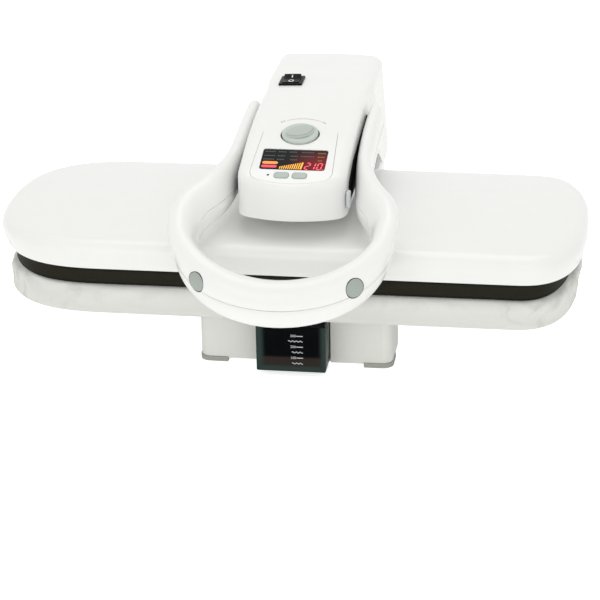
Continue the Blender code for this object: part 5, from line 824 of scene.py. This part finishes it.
def on_glass(u, v):
    """A point on the window by shares of its width from the left and of its height from the top"""
    return Vector(((u - 0.5) * WINDOW[0], (0.5 - v) * WINDOW[1]))


def mark(outline):
    """A thin lit mark just above the glass"""
    return tablet("mark", glass_place, outline, [(0, -0.0007), (0, -0.00035), (0.00006, -0.0003)])


def dash(u, v, wide, high, radius):
    """A lit dash whose left end and middle height are given in shares of the window"""
    middle = on_glass(u + wide / 2, v)
    return mark(rounded(wide * WINDOW[0], high * WINDOW[1], radius, 4, middle))


gap = 0.0004  # round the glass in its opening
cut(panel_solid, tablet("cutter", glass_place, rounded(WINDOW[0] + gap, WINDOW[1] + gap, 0.0034),
                        [(0, -0.004), (0, 0.002)]))
glass = tablet("display_glass", glass_place, rounded(*WINDOW, 0.0032),
               [(0, -0.0018), (0, -0.0006), (0.0002, -0.0004)])
# Polished glass, printed black behind: almost no colour of its own and a sharp mirror, with the
# red light of the figures spreading through it in its lower right corner
made = material("black_glass", "040405", "070708", 0.12, 0.03, 0.02, Emission_Strength=0.8, **DULL)
tree = made.node_tree
apart = add(tree, "SeparateXYZ", add(tree, "TexCoord").outputs["Object"]).outputs
across = add(tree, "MapRange", apart["X"], From_Min=MIDDLE.x - 0.010, From_Max=MIDDLE.x + 0.028, **SMOOTH)
down = add(tree, "MapRange", apart["Y"], From_Min=-0.052, From_Max=-0.086, **SMOOTH)
corner = add(tree, "Math", across.outputs[0], down.outputs[0], operation="MULTIPLY")
glow = add(tree, "MixRGB", corner.outputs[0], colour("060707"), colour("86101a"))
tree.links.new(glow.outputs[0], tree.nodes["Principled BSDF"].inputs["Emission Color"])
finish(glass, "arm", made, "display_window", slot="black_gloss")


def lit(name, dark, light, glow, strength):
    """A mark's material: a translucent print that glows in its own colour, lit from behind, or with a faint
    painted glow where no lamp is behind it
    """
    return material(name, dark, light, 0.4, 0.05, 0.001, Emission_Color=colour(glow),
                    Emission_Strength=strength)


def dashes(v, u, wide, pitch, high):
    """A word as a run of plain dashes"""
    count = round(wide / pitch)
    return [dash(u + wide * k / count, v, wide / count * 0.74, high, 0.0002) for k in range(count)]


dim = []
for v, words in ((0.115, ((0.03, 0.165), (0.235, 0.125), (0.405, 0.125), (0.59, 0.20))),
                 (0.315, ((0.03, 0.17), (0.235, 0.12), (0.435, 0.115), (0.59, 0.215))),
                 (0.49, ((0.025, 0.17), (0.235, 0.115), (0.445, 0.105)))):
    for u, wide in words:
        dim += dashes(v, u, wide, 0.024, 0.052)
# Grey print that no lamp lights now, with a faint painted glow: it only just stands off the glass
finish(joined("display_dim_marks", dim), "arm", lit("dim_print", "262a2a", "303434", "343838", 0.5))
amber = []
for v, u, wide in ((0.14, 0.845, 0.125), (0.32, 0.85, 0.11), (0.50, 0.865, 0.075)):
    amber += dashes(v, u, wide, 0.022, 0.055)
# Amber print with a little stray light behind it: dull gold
finish(joined("display_amber_marks", amber), "arm", lit("amber_print", "4a3408", "5a400c", "7a5a12", 0.7))
# Two capsules of tinted resin with a lamp behind each: evenly bright, with no hot spot
for name, u, v, look in (
    ("display_capsule_orange", 0.025, 0.655, ("orange_light", "c06428", "d07a30", "e08a3c", 0.9)),
    ("display_capsule_red", 0.02, 0.83, ("red_light", "b02838", "c43445", "d8394c", 0.9)),
):
    capsule = dash(u, v, 0.24, 0.125, 0.0024)
    finish(capsule, "arm", lit(*look)).name = name
bars = []
for k in range(11):
    u, top, low = 0.30 + 0.0315 * k, 0.82 - 0.021 * k, 0.935
    lean = 0.018 * (0.94 - top) / 0.34
    wide = 0.026 if k == 10 else 0.0155
    ring = [on_glass(*corner) for corner in ((u, low), (u + wide, low),
                                             (u + wide + lean, top), (u + lean, top))]
    bars.append(mark([ring[m].lerp(ring[(m + 1) % 4], part) for m in range(4) for part in (0, 0.5)]))
# Yellow resin bars, the brightest but for the figures
finish(joined("display_bars", bars), "arm", lit("yellow_light", "c8821c", "dc9c28", "f0ac34", 0.95))


def segment(u, v, name):
    """One stroke of a seven-segment figure whose lower left corner is at u, v, leaning a little"""
    wide, high, stroke, lean = 0.062, 0.30, 0.018, 0.022
    ends = {"top": ((0, 1), (1, 1)), "middle": ((0, 0.5), (1, 0.5)), "bottom": ((0, 0), (1, 0)),
            "upper_left": ((0, 0.5), (0, 1)), "upper_right": ((1, 0.5), (1, 1)),
            "lower_left": ((0, 0), (0, 0.5)), "lower_right": ((1, 0), (1, 0.5))}[name]
    start, end = (on_glass(u + wide * right + lean * up, v - high * up) for right, up in ends)
    run = (end - start).normalized()
    start, end = start + run * 0.0004, end - run * 0.0004
    tip = run * stroke * WINDOW[0] / 2
    side = Vector((-tip.y, tip.x))
    return mark([start, start + tip - side, end - tip - side, end, end - tip + side, start + tip + side])


figures = []
for u, strokes in ((0.685, ("top", "upper_right", "middle", "lower_left", "bottom")),
                   (0.765, ("upper_right", "lower_right")),
                   (0.870, ("top", "upper_left", "upper_right", "lower_left", "lower_right", "bottom"))):
    figures += [segment(u, 0.925, stroke) for stroke in strokes]
figures.append(dash(0.955, 0.925, 0.018, 0.035, 0.0006))
# Red light diodes behind a diffuser: each stroke glows pinkish red with a crisp edge
finish(joined("display_figures", figures), "arm", lit("red_figures", "d8404a", "e85560", "f2505e", 1.0))

# --------------------------------------------------------------------------------------------
# Panel keys and ready lamp
# Two grey-green ABS caps stand a little out of the panel in fine slots; left of them is the
# small dark lens of the ready lamp.
# --------------------------------------------------------------------------------------------

KEYS_Y = -0.1055
through_panel = [(0, -0.006), (0, 0.003)]
for side, label in ((-1, "left"), (1, "right")):
    place = panel_place(side * 0.01025, KEYS_Y)
    cut(panel_solid, tablet("cutter", place, rounded(0.0173, 0.0100, 0.0036), through_panel))
    rows = [(0, -0.004), (0, 0.0008)]
    for angle in (math.pi / 8 * k for k in range(1, 5)):
        rows.append((0.0008 * (1 - math.cos(angle)), 0.0008 + 0.0006 * math.sin(angle)))
    key = tablet("panel_key_cap_" + label, place, rounded(0.0165, 0.0092, 0.0033), rows)
    finish(key, "panel_key_" + label, finishes["silver_grey"], "panel_key_" + label, slot="silver_grey")
place = panel_place(-0.0255, KEYS_Y)
cut(panel_solid, tablet("cutter", place, ellipse(0.0029, 0.0029, 24), through_panel))
lamp_lens = tablet("ready_lamp_lens", place, ellipse(0.0026, 0.0026, 24),
                   [(0, -0.003), (0, -0.0002), (0.0003, 0.0001)])
finish(lamp_lens, "arm", finishes["black_gloss"], "ready_lamp", slot="black_gloss")

# --------------------------------------------------------------------------------------------
# Selector knob
# A turned grey-green ABS dial in a round recess. A wide leaf-shaped grip runs across its dished
# top, its right end turned 30 degrees to the back. A short scale is printed behind the dial.
# --------------------------------------------------------------------------------------------

KNOB, KNOB_Y = 0.0211, -0.0275
knob_place = panel_place(0, KNOB_Y)
cut(panel_solid, tablet("cutter", knob_place, ellipse(2 * KNOB + 0.0032, 2 * KNOB + 0.0014, 96),
                        [(0, -0.008), (0, 0.012)]))
leaf_place = knob_place @ Matrix.Rotation(math.radians(30), 4, "Z")


def put_dial(i, j):
    """Rings of the dial from its middle out over the rounded rim and down its side"""
    angle = 2 * math.pi * (i % 128) / 128
    far = min(j / 30, 1)
    height = 0.0036 - 0.0018 * (1 - share(far, 0.30, 0.86)) - 0.0014 * share(far, 0.90, 1.0)
    if j > 30:
        far, height = (1, 0.8, 0)[j - 31], -0.004
    return knob_place @ Vector((KNOB * far * math.cos(angle), KNOB * far * math.sin(angle), height))


dial = formed("selector_dial", 128, 33, put_dial)
# Turned and polished grey-green ABS: its dish and rim show as soft rings of light and shade. Its
# colour is painted lighter than the leaf's, as painted light on the dial
dial_finish = material("grey_green_abs_polished_painted_light", "bcc5c0", "c4ccc8", 0.26, 0.05, 0.005)
finish(dial, "knob", dial_finish, "selector_knob", slot="silver_grey", angle=45)
leaf = []
for k in range(64):
    angle = 2 * math.pi * k / 64
    along, aside = math.cos(angle), math.sin(angle)
    leaf.append(Vector((0.0186 * along, 0.0122 * math.copysign(abs(aside) ** 1.2, aside))))
rows = [(0, 0.0012), (0.0002, 0.0040)]
for angle in (math.pi / 10 * k for k in range(1, 6)):
    rows.append((0.0002 + 0.0022 * math.sin(angle), 0.0062 - 0.0022 * math.cos(angle)))
grip = tablet("selector_grip", leaf_place, leaf, rows)
# The same ABS left as moulded: satin, and painted a shade darker than the dial, as painted shade on the leaf
finish(grip, "knob", material("grey_green_abs_satin_painted_shade", "b0b8b3", "b8bfbb", 0.42, 0.05, 0.005), angle=40)

SCALE = 0.0372  # radius of the printed scale round the knob's middle


def put_arc(i, j):
    """The scale's arc behind the dial, widest in its middle"""
    angle = math.radians(90 - 33 + 66 * i / 40)
    wide = 0.00045 * math.sin(math.pi * min(max(i / 40, 0.02), 0.98)) + 0.00008
    across, up = ((-1, 0), (1, 0), (1, 1), (-1, 1))[j % 4]
    far = SCALE + across * wide / 2
    x, y = far * math.cos(angle), KNOB_Y + far * math.sin(angle) * 0.98
    return x, y, arm_top(x, y) + 0.0001 + 0.00025 * up


scale = [formed("scale_arc", 40, 4, put_arc)]
for turn in (-38, -43, 38, 43):
    angle = math.radians(turn)
    place = panel_place(SCALE * math.sin(angle), KNOB_Y + SCALE * math.cos(angle))
    scale.append(tablet("mark", place @ Matrix.Rotation(-angle / 2, 4, "Z"),
                        rounded(0.0013, 0.0034, 0.0004, 3), [(0, -0.0003), (0, 0.00024)]))
# Screen-printed ink: flat mid grey, without the gloss of the panel
finish(joined("dial_scale", scale), "arm", material("grey_ink", "a4a8a8", "aeb2b2", 0.5, 0.05, 0.001))
finish(panel_solid, "arm", finishes["white_gloss"], "control_fascia", slot="white_gloss")

# --------------------------------------------------------------------------------------------
# Mains switch
# A black ABS frame snapped into the arm's top, and a rocker in it whose rear half stands
# raised; white I and O are printed on its two halves.
# --------------------------------------------------------------------------------------------

switch_place = panel_place(-0.0325, 0.126)
cut(arm_cover, tablet("cutter", switch_place, rounded(0.0262, 0.0297, 0.0015), [(0, -0.010), (0, 0.010)]))
finish(arm_cover, "arm", finishes["white_gloss"], "arm_top_cover", slot="white_gloss")
flange = tablet("switch_frame", switch_place, rounded(0.0285, 0.032, 0.0018),
                [(0, 0.00005), (0, 0.0015), (0.0002, 0.0020), (0.0007, 0.0022)])
shaft = tablet("cutter", switch_place, rounded(0.0255, 0.029, 0.0015), [(0, -0.0158), (0, 0.0010)])
well = tablet("cutter", switch_place, rounded(0.0209, 0.0262, 0.0004), [(0, -0.0120), (0, 0.0100)])
cut(flange, shaft, operation="UNION")
cut(flange, well)
finish(flange, "arm", finishes["black_gloss"], "switch_housing", slot="black_gloss")

tilted = switch_place @ Matrix.Translation((0, 0, -0.0022)) @ Matrix.Rotation(math.radians(8), 4, "X")
endwise = Matrix(((0, 0, 1, 0), (1, 0, 0, 0), (0, 1, 0, 0), (0, 0, 0, 1)))
ROCKER_HALF, CREASE = 0.01125, 0.002  # half its length, and how softly its two flats meet


def rocker_top(y):
    """Height of the rocker's top: two flats that rise towards its ends"""
    return 0.0054 + 0.0016 * (math.hypot(y, CREASE) - CREASE) / (math.hypot(ROCKER_HALF, CREASE) - CREASE)


# The rocker's side view: its top, a round end, the keel below its axle, the other end
profile = [Vector((y, rocker_top(y))) for y in (ROCKER_HALF * (1 - k / 8) for k in range(17))]
for angle in map(math.radians, (152, 160, 169, 176, 183, 190, 197, 204, 208)):
    profile.append(Vector((0.0128 * math.cos(angle), 0.0128 * math.sin(angle))))
profile += [Vector((0, -0.0050))] + [Vector((-p.x, p.y)) for p in profile[:16:-1]]
rocker = tablet("rocker_key", tilted @ endwise, profile,
                [(0.0006, -0.01025), (0.0002, -0.01005), (0, -0.0097),
                 (0, 0.0097), (0.0002, 0.01005), (0.0006, 0.01025)])
finish(rocker, "rocker", finishes["black_gloss"], "power_rocker", slot="black_gloss")


def on_rocker(y):
    """A place on the rocker's top"""
    return tilted @ Matrix.Translation((0, y, rocker_top(y))) \
        @ Matrix.Rotation(math.copysign(math.radians(9), y), 4, "X")


def put_zero(i, j):
    """The printed O, taller than it is wide, because it is seen at a slant"""
    angle = 2 * math.pi * (i % 48) / 48
    far, height = ((0.0021, 0.00008), (0.0032, 0.00008), (0.0032, -0.0003), (0.0021, -0.0003))[j % 4]
    return on_rocker(-0.0058) @ Vector((far * math.cos(angle), far * 1.4 * math.sin(angle), height))


thin_print = [(0, -0.0003), (0, 0.00006)]
strokes = [tablet("mark", on_rocker(0.0062), rounded(0.0011, 0.0056, 0.0003, 3), thin_print),
           formed("mark", 48, 4, put_zero)]
# Pad-printed ink: flat warm white, crisp against the black
finish(joined("rocker_marks", strokes), "rocker", material("white_ink", "e9e9e6", "f1f1ee", 0.5, 0.05, 0.001))

# --------------------------------------------------------------------------------------------
# Side gap shade
# Thin black strips on both sides of the arm, behind the handle's cheeks, as painted shade: they
# make the narrow gap beside the arm look black.
# --------------------------------------------------------------------------------------------

side_gap_shade = []
for side in (-1, 1):
    strip = [Vector((y, z)) for y, z in ((-0.082, 0.203), (-0.070, 0.198), (0.100, 0.198), (0.108, 0.206),
                                         (0.104, 0.240), (0.090, 0.246), (-0.040, 0.235), (-0.078, 0.222))]
    onto = Matrix(((0, 0, side, side * ARM_HALF), (side, 0, 0, 0), (0, 1, 0, 0), (0, 0, 0, 1)))
    side_gap_shade.append(tablet("side_gap_shade", onto, [Vector((side * p.x, p.y)) for p in strip[::side]],
                       [(0, -0.0005), (0, 0.0006), (0.0003, 0.0008)]))
# Painted shade: matt black, so that it stays black at any angle
side_gap_shade_finish = material("black_side_gap_shade", "0c0d0c", "161716", 0.95, 0.03, 0.0008, 0.0001, Specular_IOR_Level=0.1)
finish(joined("arm_side_gap_shade", side_gap_shade), "arm", side_gap_shade_finish)

# --------------------------------------------------------------------------------------------
# Carry lock
# A small catch moulded in milky polycarbonate, let into the arm's right side. It slides back to
# free the arm once the press stands where it is used.
# --------------------------------------------------------------------------------------------

sideways = Matrix(((0, 0, 1, ARM_HALF), (1, 0, 0, -0.097), (0, 1, 0, 0.2095), (0, 0, 0, 1)))
catch = tablet("carry_lock_catch", sideways, rounded(0.011, 0.019, 0.0022),
               [(0.0004, 0.0002), (0, 0.0006), (0, 0.0030),
                (0.0004, 0.0039), (0.0012, 0.0044), (0.0024, 0.0045)])
# Milky polycarbonate lets some light in and scatters it: cool white, softer than the ABS beside it
catch_finish = material("milky_polycarbonate", "dfe3e5", "eaeef0", 0.25, 0.05, 0.002,
                        Transmission_Weight=0.25)
finish(catch, "lock", catch_finish, "carry_lock", slot="white_gloss")

# --------------------------------------------------------------------------------------------
# Water tank
# A tray moulded in dark smoked SAN, closed by a lid of the same plastic. Its front wall stands
# thicker and lower than the rest, and carries white printed marks: ticks, waves and numbers.
# --------------------------------------------------------------------------------------------


def rounded_box(low, high, radius):
    """A box with all its edges rounded"""
    return change(box(low, high), "BEVEL", width=radius, segments=4, limit_method="NONE")


TANK_HALF, TANK_FRONT, TANK_TOP = 0.0404, -0.1305, 0.0642
tank = rounded_box((-TANK_HALF, TANK_FRONT, 0.0068), (TANK_HALF, -0.0955, TANK_TOP), 0.0020)
body = rounded_box((-TANK_HALF, -0.1005, 0.0111), (TANK_HALF, 0.0300, TANK_TOP), 0.0012)
cut(tank, body, operation="UNION")
spout = tablet("cutter", Matrix(((1, 0, 0, 0), (0, 0, -1, 0), (0, 1, 0, 0.0225), (0, 0, 0, 1))),
               ellipse(0.010, 0.010, 32), [(0, -0.0400), (0, -0.0290)])
cut(tank, spout, operation="UNION")
cut(tank, box((-0.0382, -0.1283, 0.0133), (0.0382, 0.0278, 0.0700)))
# Smoked SAN looks black over the dark inside of the tank. Low down, the water left in it gives a
# brown tone. Along the edges a lighter grey-green is painted in: the smoke's own tint, made
# brighter by painted light where more light gets into the clear walls
made = material("smoked_san_moulding", "040607", "07090b", 0.16, 0.04, 0.01, Specular_IOR_Level=0.03)
tree = made.node_tree
apart = add(tree, "SeparateXYZ", add(tree, "TexCoord").outputs["Object"]).outputs
across = add(tree, "Math", apart["X"], MIDDLE.x + 0.0012, operation="SUBTRACT")
aside = add(tree, "Math", across.outputs[0], operation="ABSOLUTE")
edge = add(tree, "MapRange", aside.outputs[0], From_Min=0.0300, From_Max=0.0375, **SMOOTH)
foot = add(tree, "MapRange", apart["Z"], From_Min=0.0165, From_Max=0.0120, **SMOOTH)
painted_rim_light = add(tree, "Math", edge.outputs[0], foot.outputs[0], operation="MAXIMUM")
low = add(tree, "MapRange", apart["Z"], From_Min=0.0275, From_Max=0.0235, **SMOOTH)
paint_in_colour(made, low.outputs[0], "302b28")
paint_in_colour(made, painted_rim_light.outputs[0], "33403d")
finish(tank, "tank", made, "water_tank", slot="smoked_clear")

front_place = Matrix(((1, 0, 0, 0), (0, 0, -1, TANK_FRONT), (0, 1, 0, 0), (0, 0, 0, 1)))
LEVELS = (("300", 0.0522), ("200", 0.0386), ("100", 0.0248))  # each number and its height
printed = [tablet("mark", front_place, rounded(0.0076, 0.0010, 0.0002, 3, (0.0106, z)), thin_print)
           for _, z in LEVELS]


def put_wave(start, z):
    """A printed wave between two levels, from its start to the right end that all share"""
    def put(i, j):
        x = start + (0.0143 - start) * i / 60
        lift = 0.0007 * math.sin((x - start) * 2 * math.pi / 0.0044)
        up, height = ((-1, 0.00006), (1, 0.00006), (1, -0.0003), (-1, -0.0003))[j % 4]
        half = 0.00048 if 0 < i < 60 else 0
        return front_place @ Vector((x, z + lift + up * half, height))
    return put


printed += [formed("mark", 60, 4, put_wave(start, z))
            for start, z in ((-0.0028, 0.0457), (0.0013, 0.0318), (0.0013, 0.0179))]
for number, z in LEVELS:
    bpy.ops.object.select_all(action="DESELECT")
    bpy.ops.object.text_add()
    text = bpy.context.object
    text.data.body = number
    text.data.size = 0.0044
    text.data.extrude = 0.00018
    text.data.align_x, text.data.align_y = "RIGHT", "CENTER"
    bpy.ops.object.convert(target="MESH")
    text = bpy.context.object
    text.data.transform(Matrix.Translation(MIDDLE) @ front_place @ Matrix.Translation((0.0064, z, -0.00012)))
    bpy.ops.object.mode_set(mode="EDIT")
    bpy.ops.mesh.select_all(action="SELECT")
    bpy.ops.mesh.remove_doubles(threshold=1e-6)
    bpy.ops.mesh.normals_make_consistent(inside=False)
    bpy.ops.object.mode_set(mode="OBJECT")
    printed.append(text)
# Screen-printed ink on the smoked wall: a cool white, a little uneven
tank_ink = material("white_tank_ink", "bcc0c4", "d4d8dc", 0.5, 0.05, 0.001)
finish(joined("tank_marks", printed), "tank", tank_ink)
